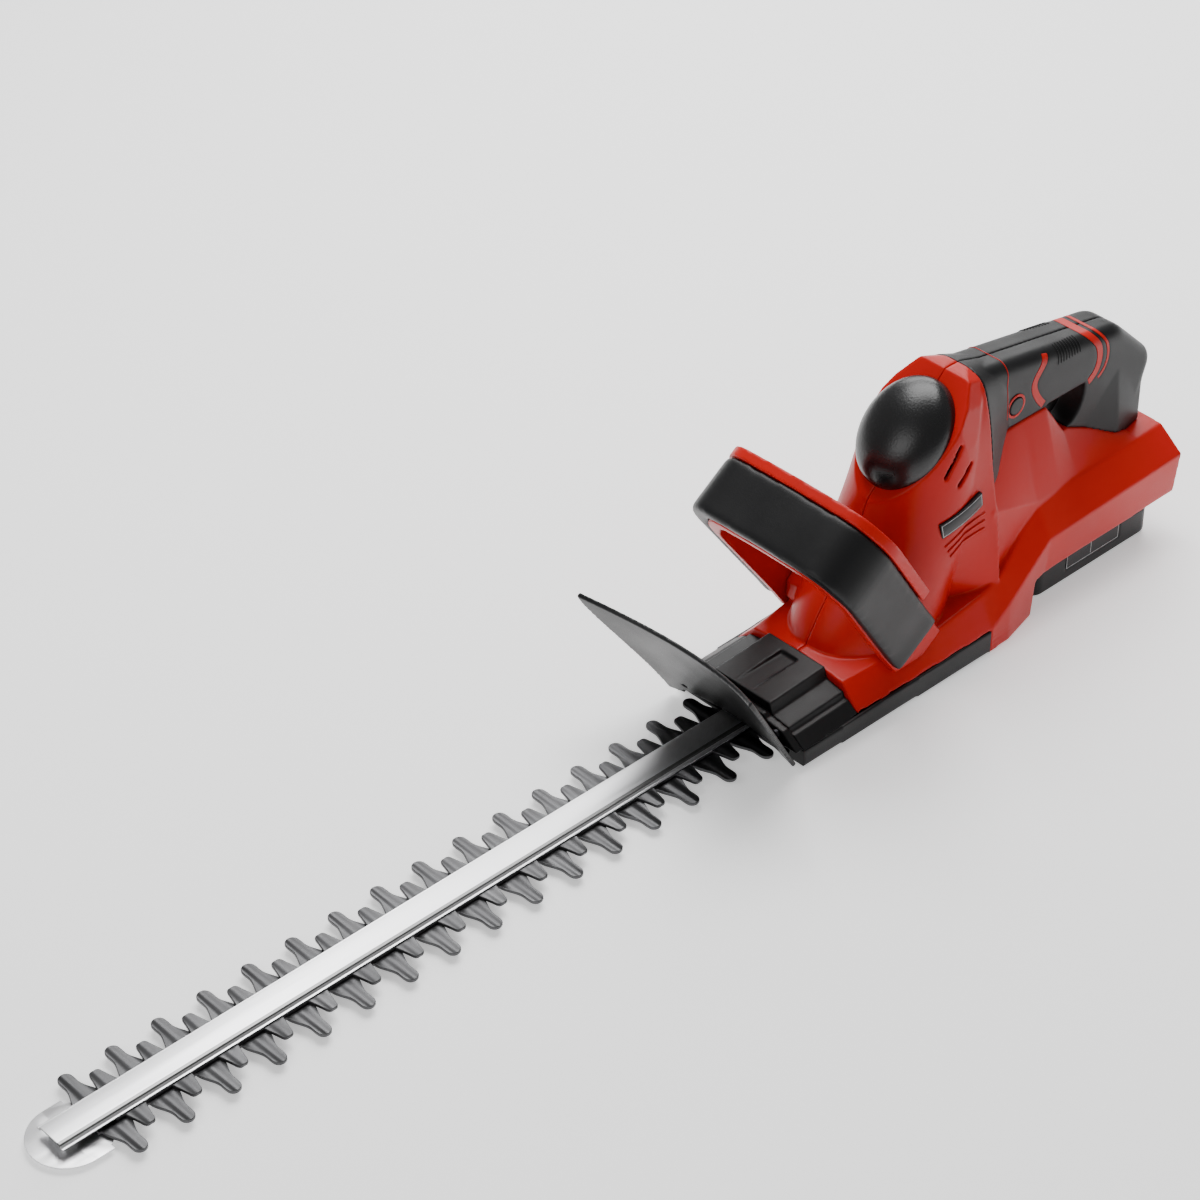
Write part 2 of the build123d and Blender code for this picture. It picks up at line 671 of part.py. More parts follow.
def yoke_outline():
    """Cross slot at the blade's rear end, driven by its eccentric."""
    with Locations((GEAR_X, 0)):
        Rectangle(2 * (YOKE_HALF_X + YOKE_RIM), 2 * (YOKE_HALF_Y + YOKE_RIM))
        RectangleRounded(2 * YOKE_HALF_X, 2 * YOKE_HALF_Y, 6, mode=Mode.SUBTRACT)


def strip(front, rear, half):
    """Plain rectangle of the blade between two stations."""
    with Locations(((front + rear) / 2, 0)):
        Rectangle(front - rear, 2 * half)


with BuildPart() as lower_blade:
    with BuildSketch(Plane.XY.offset(LOWER_BLADE_Z)):
        yoke_outline()
        strip(FIRST_TOOTH_X + 11, GEAR_X + YOKE_HALF_X + 1, BLADE_HALF)
        for number in range(TOOTH_COUNT):
            tall_tooth(FIRST_TOOTH_X - TOOTH_PITCH * number)
        with Locations(*[(x, 0) for x in BOLT_XS]):
            SlotOverall(SLOT_LENGTH, SLOT_WIDTH, mode=Mode.SUBTRACT)
    extrude(amount=BLADE_T)

with BuildPart() as upper_blade:
    with BuildSketch(Plane.XY.offset(UPPER_BLADE_Z)):
        yoke_outline()
        strip(FIRST_TOOTH_X - 1, GEAR_X + YOKE_HALF_X + 1, BLADE_HALF)
        for number in range(TOOTH_COUNT - 1):
            short_tooth(FIRST_TOOTH_X - SHORT_OFFSET - TOOTH_PITCH * number)
        with Locations(*[(x, 0) for x in BOLT_XS]):
            SlotOverall(SLOT_LENGTH, SLOT_WIDTH, mode=Mode.SUBTRACT)
    extrude(amount=BLADE_T)

save(lower_blade.part, "lower_blade")
save(upper_blade.part, "upper_blade")

with BuildPart() as guide_bar:
    with BuildSketch(Plane.YZ.offset(BAR_REAR)):
        with BuildLine():
            Polyline((-12, BAR_Z), (-12, BAR_Z + 0.9), (-10.6, BAR_Z + 0.7), (-9.1, BAR_Z + 2.9),
                     (9.1, BAR_Z + 2.9), (10.6, BAR_Z + 0.7), (12, BAR_Z + 0.9), (12, BAR_Z),
                     (8.9, BAR_Z), (8.3, BAR_Z + 1.7), (-8.3, BAR_Z + 1.7), (-8.9, BAR_Z),
                     close=True)
        make_face()
    extrude(amount=BAR_FRONT - BAR_REAR)

save(guide_bar.part, "guide_bar")

CORE_TOP = BAR_Z + 1.65
RIVET_YS = (-4.0, 4.0)
TIP_RIVET_X = 430.0

with BuildPart() as bar_core:
    with BuildSketch(Plane.XY.offset(BAR_Z)):
        with Locations(((BAR_FRONT - 3 + BAR_REAR) / 2, 0)):
            Rectangle(BAR_FRONT - 3 - BAR_REAR, 16)
        with Locations(*[(x, 0) for x in BOLT_XS]):
            Circle(2.05, mode=Mode.SUBTRACT)
        with Locations(*[(TIP_RIVET_X, y) for y in RIVET_YS]):
            Circle(1.55, mode=Mode.SUBTRACT)
    extrude(amount=CORE_TOP - BAR_Z)

save(bar_core.part, "bar_core")

with BuildPart() as blade_spacers:
    with BuildSketch(Plane.XY.offset(WASHER_Z + 1)):
        with Locations(*[(x, 0) for x in BOLT_XS]):
            Circle(3.0)
            Circle(2.05, mode=Mode.SUBTRACT)
    extrude(amount=BAR_Z - WASHER_Z - 1)

with BuildPart() as blade_washers:
    with BuildSketch(Plane.XY.offset(WASHER_Z)):
        with Locations(*[(x, 0) for x in BOLT_XS[1:]]):
            Circle(6.0)
            Circle(2.05, mode=Mode.SUBTRACT)
    extrude(amount=1.0)

with BuildPart() as blade_bolts:
    with BuildSketch(Plane.XY.offset(WASHER_Z)):
        with Locations(*[(x, 0) for x in BOLT_XS]):
            Circle(2.0)
    extrude(amount=CORE_TOP - WASHER_Z)
    with BuildSketch(Plane.XY.offset(WASHER_Z)):
        with Locations(*[(x, 0) for x in BOLT_XS]):
            Circle(3.9)
    extrude(amount=-1.5)
    with BuildSketch(Plane.XY.offset(WASHER_Z - 1.5)):
        with Locations(*[(x, 0) for x in BOLT_XS]):
            RegularPolygon(1.6, 6)
    extrude(amount=0.9, mode=Mode.SUBTRACT)

save(blade_spacers.part, "blade_spacers")
save(blade_washers.part, "blade_washers")
save(blade_bolts.part, "blade_bolts")

with BuildPart() as tip_plate:
    with BuildSketch(Plane.XY.offset(WASHER_Z)):
        with Locations((LENGTH / 2 - 24.5, 0)):
            Circle(24.5)
        with Locations((LENGTH / 2 - 24.5 - 6, 0)):
            Rectangle(12, 49)
        with Locations((384, 0)):
            Rectangle(62, 17)
        with Locations((BOLT_XS[0], 0)):
            Circle(2.05, mode=Mode.SUBTRACT)
        with Locations(*[(TIP_RIVET_X, y) for y in RIVET_YS]):
            Circle(1.55, mode=Mode.SUBTRACT)
    extrude(amount=1.0)

with BuildPart() as tip_spacer:
    with BuildSketch(Plane.XY.offset(WASHER_Z + 1)):
        with Locations((TIP_RIVET_X, 0)):
            RectangleRounded(10, 15, 2)
        with Locations(*[(TIP_RIVET_X, y) for y in RIVET_YS]):
            Circle(1.55, mode=Mode.SUBTRACT)
    extrude(amount=BAR_Z - WASHER_Z - 1)

with BuildPart() as tip_rivets:
    with BuildSketch(Plane.XY.offset(WASHER_Z)):
        with Locations(*[(TIP_RIVET_X, y) for y in RIVET_YS]):
            Circle(1.5)
    extrude(amount=CORE_TOP - WASHER_Z)
    with BuildSketch(Plane.XY.offset(WASHER_Z)):
        with Locations(*[(TIP_RIVET_X, y) for y in RIVET_YS]):
            Circle(2.7)
    extrude(amount=-1.0)

save(tip_plate.part, "tip_plate")
save(tip_spacer.part, "tip_spacer")
save(tip_rivets.part, "tip_rivets")

# ------------------------------------------------------------------ gear case and gear train
CASE_TOP_Z = 17.0               # underside of the case's roof
CASE_ROOF = 5.0
BOSS_TOP_Z = 40.0
GEAR_TOP_Z = GEAR_Z + GEAR_T

with BuildPart() as gear_case:
    with BuildSketch(Plane.XY.offset(2.4)):
        with Locations((GEAR_X, 0)):
            Circle(43)
        with Locations(((MOTOR_X + GEAR_X) / 2, 0)):
            Rectangle(GEAR_X - MOTOR_X, 44)
        with Locations((MOTOR_X, 0)):
            Circle(20)
        with Locations((GEAR_X + 42, 0)):
            Rectangle(20, 34)
    extrude(amount=CASE_TOP_Z + CASE_ROOF - 2.4)
    with BuildSketch(Plane.XY.offset(CASE_TOP_Z + CASE_ROOF)):
        with Locations((GEAR_X, 0)):
            Circle(15)
    extrude(amount=BOSS_TOP_Z - CASE_TOP_Z - CASE_ROOF)
    # gear pocket, pinion pocket and the way in for the blades
    with BuildSketch(Plane.XY.offset(2.4)):
        with Locations((GEAR_X, 0)):
            Circle(40)
        with Locations((MOTOR_X, 0)):
            Circle(10)
        with Locations((GEAR_X + 46, 0)):
            Rectangle(30, 25.6)
    extrude(amount=CASE_TOP_Z - 2.4, mode=Mode.SUBTRACT)
    with Locations((MOTOR_X, 0, CASE_TOP_Z + CASE_ROOF)):
        Hole(radius=6.8, depth=CASE_ROOF + 2)
    with Locations((GEAR_X, 0, BOSS_TOP_Z)):
        CounterBoreHole(radius=7, counter_bore_radius=11, counter_bore_depth=7, depth=60)
    with BuildSketch(Plane.XY.offset(CASE_TOP_Z)):
        with Locations((GEAR_X, 0)):
            Circle(11)
    extrude(amount=8, mode=Mode.SUBTRACT)
    for side in (-1, 1):
        with Locations((GEAR_X + 47, side * 14.8, CASE_TOP_Z + CASE_ROOF)):
            Hole(radius=1.7, depth=25)

save(gear_case.part, "gear_case")

with BuildPart() as gear_bearings:
    for low in (CASE_TOP_Z + 1, BOSS_TOP_Z - 7):
        with BuildSketch(Plane.XY.offset(low)):
            with Locations((GEAR_X, 0)):
                Circle(11)
                Circle(SHAFT_R + 0.02, mode=Mode.SUBTRACT)
        extrude(amount=7)
        for face_z in (low + 7, low):
            with BuildSketch(Plane.XY.offset(face_z)):
                with Locations((GEAR_X, 0)):
                    Circle(9.2)
                    Circle(6.0, mode=Mode.SUBTRACT)
            extrude(amount=0.5 if face_z == low else -0.5, mode=Mode.SUBTRACT)

save(gear_bearings.part, "gear_bearings")


def gear_outline(teeth, x, phase):
    """Spur gear outline with slim straight-flanked teeth, in the current sketch."""
    pitch_r = MODULE * teeth / 2
    tip_r = pitch_r + 0.85 * MODULE
    root_r = pitch_r - 1.1 * MODULE
    half = pi / (2 * teeth)
    points = []
    for number in range(teeth):
        centre = phase + 2 * pi * number / teeth
        for radius, share in ((root_r, -1.35), (pitch_r, -0.82), (tip_r, -0.35),
                              (tip_r, 0.35), (pitch_r, 0.82), (root_r, 1.35)):
            angle = centre + share * half
            points.append((x + radius * cos(angle), radius * sin(angle)))
    with BuildLine() as outline:
        Polyline(*points, close=True)
    make_face(outline.edges())


with BuildPart() as drive_gear:
    with BuildSketch(Plane.XY.offset(GEAR_Z)):
        gear_outline(GEAR_TEETH, GEAR_X, pi)
        with Locations((GEAR_X, 0)):
            Circle(SHAFT_R, mode=Mode.SUBTRACT)
    extrude(amount=GEAR_T)
    with BuildSketch(Plane.XY.offset(GEAR_TOP_Z)):
        with Locations((GEAR_X, 0)):
            Circle(31)
            Circle(10, mode=Mode.SUBTRACT)
    extrude(amount=-2.5, mode=Mode.SUBTRACT)

with BuildPart() as motor_pinion:
    with BuildSketch(Plane.XY.offset(GEAR_Z)):
        gear_outline(PINION_TEETH, MOTOR_X, pi / PINION_TEETH)
        with Locations((MOTOR_X, 0)):
            Circle(1.6, mode=Mode.SUBTRACT)
    extrude(amount=GEAR_T)

save(drive_gear.part, "drive_gear")
save(motor_pinion.part, "motor_pinion")


def eccentric(z0, z1, offset):
    """Disc round the gear shaft, set off centre to one side."""
    with BuildSketch(Plane.XY.offset(z0)) as disc:
        with Locations((GEAR_X, offset)):
            Circle(ECCENTRIC_R)
        with Locations((GEAR_X, 0)):
            Circle(SHAFT_R, mode=Mode.SUBTRACT)
    return extrude(disc.sketch, amount=z1 - z0)


lower_disc = eccentric(WASHER_Z + 1.1, UPPER_BLADE_Z - 0.1, STROKE)
upper_disc = eccentric(UPPER_BLADE_Z - 0.1, GEAR_Z, -STROKE)

with BuildPart() as lower_eccentric:
    add(lower_disc)

with BuildPart() as upper_eccentric:
    add(upper_disc)

with BuildPart() as gear_shaft:
    with BuildSketch(Plane.XY.offset(WASHER_Z + 0.4)):
        with Locations((GEAR_X, 0)):
            Circle(SHAFT_R)
    extrude(amount=BOSS_TOP_Z + 1.5 - WASHER_Z - 0.4)
    with BuildSketch(Plane.XY.offset(BOSS_TOP_Z + 0.2)):
        with Locations((GEAR_X, 0)):
            Circle(SHAFT_R + 2.2)
    extrude(amount=0.9)

save(lower_eccentric.part, "lower_eccentric")
save(upper_eccentric.part, "upper_eccentric")
save(gear_shaft.part, "gear_shaft")

# ------------------------------------------------------------------ motor
MOTOR_R = 18.5
MOTOR_Z0 = 22.0
MOTOR_Z1 = 80.0
MOTOR_SHAFT_R = 1.6

with BuildPart() as motor_can:
    with BuildSketch(Plane.XY.offset(MOTOR_Z0)):
        with Locations((MOTOR_X, 0)):
            Circle(MOTOR_R)
    extrude(amount=MOTOR_Z1 - MOTOR_Z0)
    fillet(motor_can.edges().group_by(Axis.Z)[0], radius=2)
    with BuildSketch(Plane.XY.offset(MOTOR_Z0 + 1.5)):
        with Locations((MOTOR_X, 0)):
            Circle(MOTOR_R - 1.5)
    extrude(amount=MOTOR_Z1 - MOTOR_Z0, mode=Mode.SUBTRACT)
    with BuildSketch(Plane.XY.offset(MOTOR_Z0 - 3.5)):
        with Locations((MOTOR_X, 0)):
            Circle(6.4)
    extrude(amount=5)
    with Locations((MOTOR_X, 0, MOTOR_Z0 + 1.5)):
        Hole(radius=MOTOR_SHAFT_R + 0.05, depth=10)

with BuildPart() as motor_magnets:
    with BuildSketch(Plane.XY.offset(MOTOR_Z0 + 8)):
        with Locations((MOTOR_X, 0)):
            Circle(MOTOR_R - 1.6)
            Circle(MOTOR_R - 5.0, mode=Mode.SUBTRACT)
            Rectangle(50, 12, mode=Mode.SUBTRACT)
    extrude(amount=38)

with BuildPart() as motor_end_bell:
    with BuildSketch(Plane.XY.offset(MOTOR_Z1)):
        with Locations((MOTOR_X, 0)):
            Circle(MOTOR_R)
            Circle(MOTOR_SHAFT_R + 0.05, mode=Mode.SUBTRACT)
            for side in (-1, 1):
                with Locations((side * 11, 0)):
                    Rectangle(6, 8, mode=Mode.SUBTRACT)
    extrude(amount=7)
    with BuildSketch(Plane.XY.offset(MOTOR_Z1 + 7)):
        with Locations((MOTOR_X, 0)):
            Circle(7)
            Circle(MOTOR_SHAFT_R + 0.05, mode=Mode.SUBTRACT)
    extrude(amount=3)

with BuildPart() as motor_rotor:
    with BuildSketch(Plane.XY.offset(MOTOR_Z0 + 10)):
        with Locations((MOTOR_X, 0)):
            Circle(12.6)
            Circle(MOTOR_SHAFT_R, mode=Mode.SUBTRACT)
            with PolarLocations(10.4, 5):
                Rectangle(5.2, 2.4, mode=Mode.SUBTRACT)
    extrude(amount=34)
    with BuildSketch(Plane.XY.offset(MOTOR_Z0 + 46)):
        with Locations((MOTOR_X, 0)):
            Circle(5.6)
            Circle(MOTOR_SHAFT_R, mode=Mode.SUBTRACT)
    extrude(amount=9)
    with BuildSketch(Plane.XY.offset(MOTOR_Z0 + 44)):
        with Locations((MOTOR_X, 0)):
            Circle(9)
            Circle(MOTOR_SHAFT_R, mode=Mode.SUBTRACT)
    extrude(amount=2)

with BuildPart() as motor_shaft:
    with BuildSketch(Plane.XY.offset(GEAR_Z - 0.2)):
        with Locations((MOTOR_X, 0)):
            Circle(MOTOR_SHAFT_R)
    extrude(amount=MOTOR_Z1 + 16 - GEAR_Z)

with BuildPart() as cooling_fan:
    with BuildSketch(Plane.XY.offset(MOTOR_Z1 + 11)):
        with Locations((MOTOR_X, 0)):
            Circle(5)
            Circle(MOTOR_SHAFT_R, mode=Mode.SUBTRACT)
            with PolarLocations(10.5, 9, start_angle=10):
                Rectangle(12.5, 1.4)
    extrude(amount=4.5)
    with BuildSketch(Plane.XY.offset(MOTOR_Z1 + 15.5)):
        with Locations((MOTOR_X, 0)):
            Circle(17)
            Circle(MOTOR_SHAFT_R + 3, mode=Mode.SUBTRACT)
    extrude(amount=1.2)

for piece, name in ((motor_can, "motor_can"), (motor_magnets, "motor_magnets"),
                    (motor_end_bell, "motor_end_bell"), (motor_rotor, "motor_rotor"),
                    (motor_shaft, "motor_shaft"), (cooling_fan, "cooling_fan")):
    save(piece.part, name)

# ------------------------------------------------------------------ motor cap and name plate
CAP_RISE = 21.0
CAP_WALL = 2.5
CAP_EDGE = 0.5                  # the cap stands this far inside the rim


def cap_form(a, b, rise):
    """Domed cap on the rim plane, lofted through shrinking ellipses."""
    rings = ((0, 1.0), (0.25, 0.975), (0.5, 0.885), (0.75, 0.70), (0.92, 0.44), (1.0, 0.14))
    with BuildPart() as dome:
        for height, share in rings:
            with BuildSketch(rim_plane.offset(rise * height)):
                Ellipse(a * share, b * share)
        loft()
    return dome.part


with BuildPart() as motor_cap:
    add(cap_form(RIM_A - CAP_EDGE, RIM_B - CAP_EDGE, CAP_RISE))
    add(cap_form(RIM_A - CAP_EDGE - CAP_WALL, RIM_B - CAP_EDGE - CAP_WALL, CAP_RISE - CAP_WALL),
        mode=Mode.SUBTRACT)

name_plate = (plate_prism & upright(-240, -68.6, 80, 135, 110)) - plate_seat

save(motor_cap.part, "motor_cap")
save(name_plate, "name_plate")


def coil(x, y, z0, z1, radius, wire, turns):
    """Upright coil spring between two heights."""
    with BuildPart() as spring:
        with BuildLine() as path:
            Helix(pitch=(z1 - z0 - 2 * wire) / turns, height=z1 - z0 - 2 * wire, radius=radius,
                  center=(x, y, z0 + wire))
        with BuildSketch(Plane(origin=path.line @ 0, z_dir=path.line % 0)):
            Circle(wire)
        sweep()
    return spring.part


# ------------------------------------------------------------------ trigger, switch and button
TRIGGER_TOP = 138.0
SWITCH_Z = 148.0
BUTTON_R = 6.2

with BuildPart() as trigger:
    with BuildSketch(Plane.XZ):
        with BuildLine():
            Polyline((-345.5, 131), (-352, 121), (-354.5, 119.5), (-358, 119.5), (-361, 122.5),
                     (-361.5, 126), (-361.5, TRIGGER_TOP), (-345.5, TRIGGER_TOP), close=True)
        make_face()
    extrude(amount=6, both=True)
    fillet(trigger.edges().filter_by(lambda e: abs(e.center().Y) > 5.9
                                     and e.center().Z < 129 and e.center().X < -346), radius=2)

trigger_spring = coil(TRIGGER_X, 0, TRIGGER_TOP, SWITCH_Z, 3.6, 0.4, 5)

with BuildPart() as switch_body:
    with BuildSketch(Plane.XY.offset(SWITCH_Z)):
        with Locations((TRIGGER_X, 0)):
            Rectangle(34, 17)
    extrude(amount=12)
    # terminals on the switch's front end
    for side in (-1, 1):
        with BuildSketch(Plane.YZ.offset(TRIGGER_X + 17)):
            with Locations((side * 4.5, SWITCH_Z + 6)):
                Rectangle(0.8, 4.6)
        extrude(amount=7)

with BuildPart() as lock_button:
    with BuildSketch(Plane.XZ.offset(-6)):
        with Locations((BUTTON_X, BUTTON_Z)):
            Circle(BUTTON_R)
    extrude(amount=-13.2)
    with BuildSketch(Plane.XZ.offset(-11.6)):
        with Locations((BUTTON_X, BUTTON_Z)):
            Circle(8)
    extrude(amount=-2.6)
    with BuildSketch(Plane.XZ.offset(-6)):
        with Locations((BUTTON_X, BUTTON_Z)):
            Circle(4.4)
    extrude(amount=-9.5, mode=Mode.SUBTRACT)
    fillet(lock_button.edges().group_by(Axis.Y)[-1], radius=1)

lock_spring = Rot(-90, 0, 0) * coil(0, 0, 0, 24.5, 3.4, 0.4, 8)
lock_spring = Pos(BUTTON_X, -12.5, BUTTON_Z) * lock_spring

with BuildPart() as button_ring:
    with BuildSketch(Plane.XZ.offset(-GRIP_HALF)):
        with Locations((BUTTON_X, BUTTON_Z)):
            Circle(8.4)
            Circle(6.7, mode=Mode.SUBTRACT)
    extrude(amount=-0.6)
    add(collar_form, mode=Mode.SUBTRACT)

save(trigger.part, "trigger")
save(trigger_spring, "trigger_spring")
save(switch_body.part, "switch_body")
save(lock_button.part, "lock_button")
save(lock_spring, "lock_spring")
save(button_ring.part, "button_ring")

# ------------------------------------------------------------------ battery
PACK_FLOOR = 0.5
PACK_SPLIT = 20.0
PACK_TOP = 36.0
PACK_WALL = 2.5
CELL_R = 9.2
CELL_LENGTH = 65.0
CELL_SPOTS = [(-338 - 20 * number, 13) for number in range(5)]
PACK_SCREWS = [(x, side * 34.4) for x in (-325.2, -430.8) for side in (-1, 1)]


def pack_form(inset):
    """Battery case body with rounded upright corners."""
    with BuildPart() as block:
        with BuildSketch(Plane.XY.offset(PACK_FLOOR + inset)):
            with Locations(((BATTERY_FRONT + BATTERY_REAR) / 2, 0)):
                RectangleRounded(BATTERY_FRONT - BATTERY_REAR - 2 * inset,
                                 2 * BATTERY_HALF - 2 * inset, 9 - inset)
        extrude(amount=PACK_TOP - PACK_FLOOR - 2 * inset)
    return block.part


pack_outside = pack_form(0)
pack_outside = chamfer(pack_outside.edges().group_by(Axis.Z)[0], length=1.5)
pack_inside = pack_form(PACK_WALL)
above_split = box(-450, -300, -60, 60, PACK_SPLIT, 80)
hood_outside = box(BATTERY_REAR, -412, -30, 30, PACK_TOP - 1, 53.5)
hood_outside = fillet(hood_outside.edges().filter_by(Axis.X).group_by(Axis.Z)[-1], radius=9)
hood_inside = box(BATTERY_REAR + PACK_WALL, -414.5, -27.5, 27.5, PACK_TOP - 4, 44)
hood_inside += box(BATTERY_REAR + PACK_WALL, -414.5, -20, 20, 43, 51)
rail_outside = box(-398, -325, -17.8, 17.8, PACK_TOP - 1, 46)
rail_inside = box(-395.5, -327.5, -13, 13, PACK_TOP - 4, 43.5)
rail_grooves = [box(-398.5, -324, side * 15.3, side * 18, 38.2, 41.4) for side in (-1, 1)]
contact_slots = [box(-352, -324, y - 1.1, y + 1.1, 39, 47) for y in (-9, 0, 9)]
button_window = box(-437, -433, -13, 13, 24.3, 50.6)
hook_window = box(-404, -398.1, -8.2, 8.2, 32, 37)
side_panels = [box(-405, -349, side * 39.4, side * 41, 8, 27) for side in (-1, 1)]
side_pads = [box(-346 - 20 * number, -333 - 20 * number, side * 38.8, side * 40.4, 30, 34.5)
             for number in range(4) for side in (-1, 1)]

with BuildPart() as battery_case_lower:
    add(pack_outside)
    for cut in (pack_inside, above_split, *side_panels):
        add(cut, mode=Mode.SUBTRACT)
    for x, y in PACK_SCREWS:
        add(upright(x, y, 0.4, 16, 3.4) & pack_outside)
        add(upright(x, y, 0, 2.6, 2.6), mode=Mode.SUBTRACT)
        add(upright(x, y, 2, 17, 1.5), mode=Mode.SUBTRACT)

with BuildPart() as battery_case_upper:
    add(pack_outside)
    for form in (hood_outside, rail_outside, *side_pads):
        add(form)
    for cut in (pack_inside, hood_inside, rail_inside, *rail_grooves, *contact_slots,
                button_window, hook_window, *side_panels):
        add(cut, mode=Mode.SUBTRACT)
    add(box(-450, -300, -60, 60, -1, PACK_SPLIT), mode=Mode.SUBTRACT)

with BuildPart() as battery_screws:
    with BuildSketch(Plane.XY.offset(PACK_FLOOR + 0.3)):
        with Locations(*PACK_SCREWS):
            Circle(2.4)
    extrude(amount=1.7)
    with BuildSketch(Plane.XY.offset(PACK_FLOOR + 1.9)):
        with Locations(*PACK_SCREWS):
            Circle(1.45)
    extrude(amount=12)
    with BuildSketch(Plane.XY.offset(PACK_FLOOR + 0.3)):
        with Locations(*PACK_SCREWS):
            RegularPolygon(1.4, 6)
    extrude(amount=1.1, mode=Mode.SUBTRACT)

with BuildPart() as battery_cells:
    with BuildSketch(Plane.XZ.offset(-CELL_LENGTH / 2)):
        with Locations(*CELL_SPOTS):
            Circle(CELL_R)
    extrude(amount=CELL_LENGTH)
    for side in (-1, 1):
        with BuildSketch(Plane.XZ.offset(side * (CELL_LENGTH / 2))):
            with Locations(*CELL_SPOTS):
                Circle(3)
        extrude(amount=side * 0.8)

with BuildPart() as cell_holder:
    for side in (-1, 1):
        add(box(-428.5, -327.5, side * 23, side * 26, 3.1, 22.9))
    add(box(-428.5, -419.5, -24, 24, 20.3, 22.9))
    with BuildSketch(Plane.XZ.offset(-CELL_LENGTH / 2)):
        with Locations(*CELL_SPOTS):
            Circle(CELL_R + 0.1)
    extrude(amount=CELL_LENGTH, mode=Mode.SUBTRACT)

with BuildPart() as battery_board:
    add(box(-395, -328, -22, 22, 24, 25.6))
    for side in (-1, 1):
        add(box(-375, -363, side * 8, side * 16, 25.6, 29))

with BuildPart() as battery_terminals:
    for y in (-9, 0, 9):
        for side in (-1, 1):
            add(box(-345, -331, y + side * 0.75, y + side * 1.05, 25.6, 43))
        add(box(-345, -339, y - 1.05, y + 1.05, 25.6, 27))

with BuildPart() as battery_latch:
    add(box(-436.4, -431.4, -12.4, 12.4, 27.8, 50))
    add(box(-432, -399.2, -4, 4, 27.8, 31))
    add(box(-403.2, -399.2, -7.4, 7.4, 27.8, 46.4))
    # finger scoop in the button's face
    add(crossways(-444.5, 38.9, -9.6, 9.6, 11.4), mode=Mode.SUBTRACT)

latch_spring = coil(-424, 0, 22.9, 27.8, 2.4, 0.3, 3)

save(battery_case_lower.part, "battery_case_lower")
save(battery_case_upper.part, "battery_case_upper")
save(battery_screws.part, "battery_screws")
save(battery_cells.part, "battery_cells")
save(cell_holder.part, "cell_holder")
save(battery_board.part, "battery_board")
save(battery_terminals.part, "battery_terminals")
save(battery_latch.part, "battery_latch")
save(latch_spring, "latch_spring")

# ------------------------------------------------------------------ contacts, board and leads
with BuildPart() as terminal_block:
    add(box(-323.5, BAY_X, -16, 16, 37.2, RAIL_TOP))

with BuildPart() as terminal_blades:
    for y in (-9, 0, 9):
        add(box(-338, -323.5, y - 0.4, y + 0.4, 40, 45))

with BuildPart() as control_board:
    add(box(-372, -306, -17, 17, 56, 57.6))
    add(box(-330, -318, -13, 13, 57.6, 64))
    add(upright(-345, 6, 57.6, 66, 4))
    add(upright(-356, 6, 57.6, 66, 4))


with BuildPart() as power_leads:
    for y in (-4.5, 4.5):
        with BuildLine() as path:
            FilletPolyline((-305.5, y, 60), (-284, y, 60), (-262, y, 83.5), (-245.3, y, 83.5),
                           radius=8)
        with BuildSketch(Plane(origin=path.line @ 0, z_dir=path.line % 0)):
            Circle(1.2)
        sweep()
        with BuildLine() as rise:
            FilletPolyline((-329.2, y, 154), (-320.8, y, 154), (-320.8, y, 64.1), radius=5)
        with BuildSketch(Plane(origin=rise.line @ 0, z_dir=rise.line % 0)):
            Circle(1.0)
        sweep()

save(terminal_block.part, "terminal_block")
save(terminal_blades.part, "terminal_blades")
save(control_board.part, "control_board")
save(power_leads.part, "power_leads")
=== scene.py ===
"""Looks of the cordless hedge trimmer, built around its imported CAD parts.

Metres, in the CAD frame: +X towards the blade tip, +Y to the tool's left, +Z up.
"""
import json
from math import cos, pi, radians, sin

import bpy
from mathutils import Matrix, Vector
from mathutils.bvhtree import BVHTree


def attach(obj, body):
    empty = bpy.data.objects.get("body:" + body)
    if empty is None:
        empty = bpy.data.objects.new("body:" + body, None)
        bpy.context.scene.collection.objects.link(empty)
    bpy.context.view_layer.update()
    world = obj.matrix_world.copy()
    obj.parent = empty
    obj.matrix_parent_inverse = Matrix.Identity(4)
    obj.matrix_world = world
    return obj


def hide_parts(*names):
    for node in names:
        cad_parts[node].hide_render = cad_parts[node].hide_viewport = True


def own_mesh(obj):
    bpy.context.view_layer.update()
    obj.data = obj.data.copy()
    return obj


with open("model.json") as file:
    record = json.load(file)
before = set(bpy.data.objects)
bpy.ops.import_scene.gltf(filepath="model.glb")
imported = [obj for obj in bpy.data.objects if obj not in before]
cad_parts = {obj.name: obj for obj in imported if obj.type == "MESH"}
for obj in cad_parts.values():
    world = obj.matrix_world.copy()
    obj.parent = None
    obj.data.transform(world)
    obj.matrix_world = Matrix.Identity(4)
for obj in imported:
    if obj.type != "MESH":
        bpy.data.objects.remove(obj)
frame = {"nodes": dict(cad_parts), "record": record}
MM = 0.001
EVEN = (1, 1, 1)

# The teeth's pitch and the first tooth of each blade, from the tip.
PITCH = 32.0 * MM
FIRST_TALL = 403.5 * MM
FIRST_SHORT = 390.0 * MM

# The name plate on the hump, and the panels on the battery's sides.
PLATE_TURN = radians(12)
PLATE_CENTRE = (-239.5 * MM, 0, 107.2 * MM)
PLATE_LONG, PLATE_HIGH = 38 * MM, 11 * MM
PANEL_CENTRE = (-377 * MM, 0, 17.5 * MM)
PANEL_LONG, PANEL_HIGH = 54 * MM, 17.5 * MM
PANEL_DIVIDER = 2 * MM


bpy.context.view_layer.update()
nodes = frame["nodes"]


# ------------------------------------------------------------------ materials
def link(tree, source, target):
    """Join an output socket to an input socket."""
    tree.links.new(source, target)


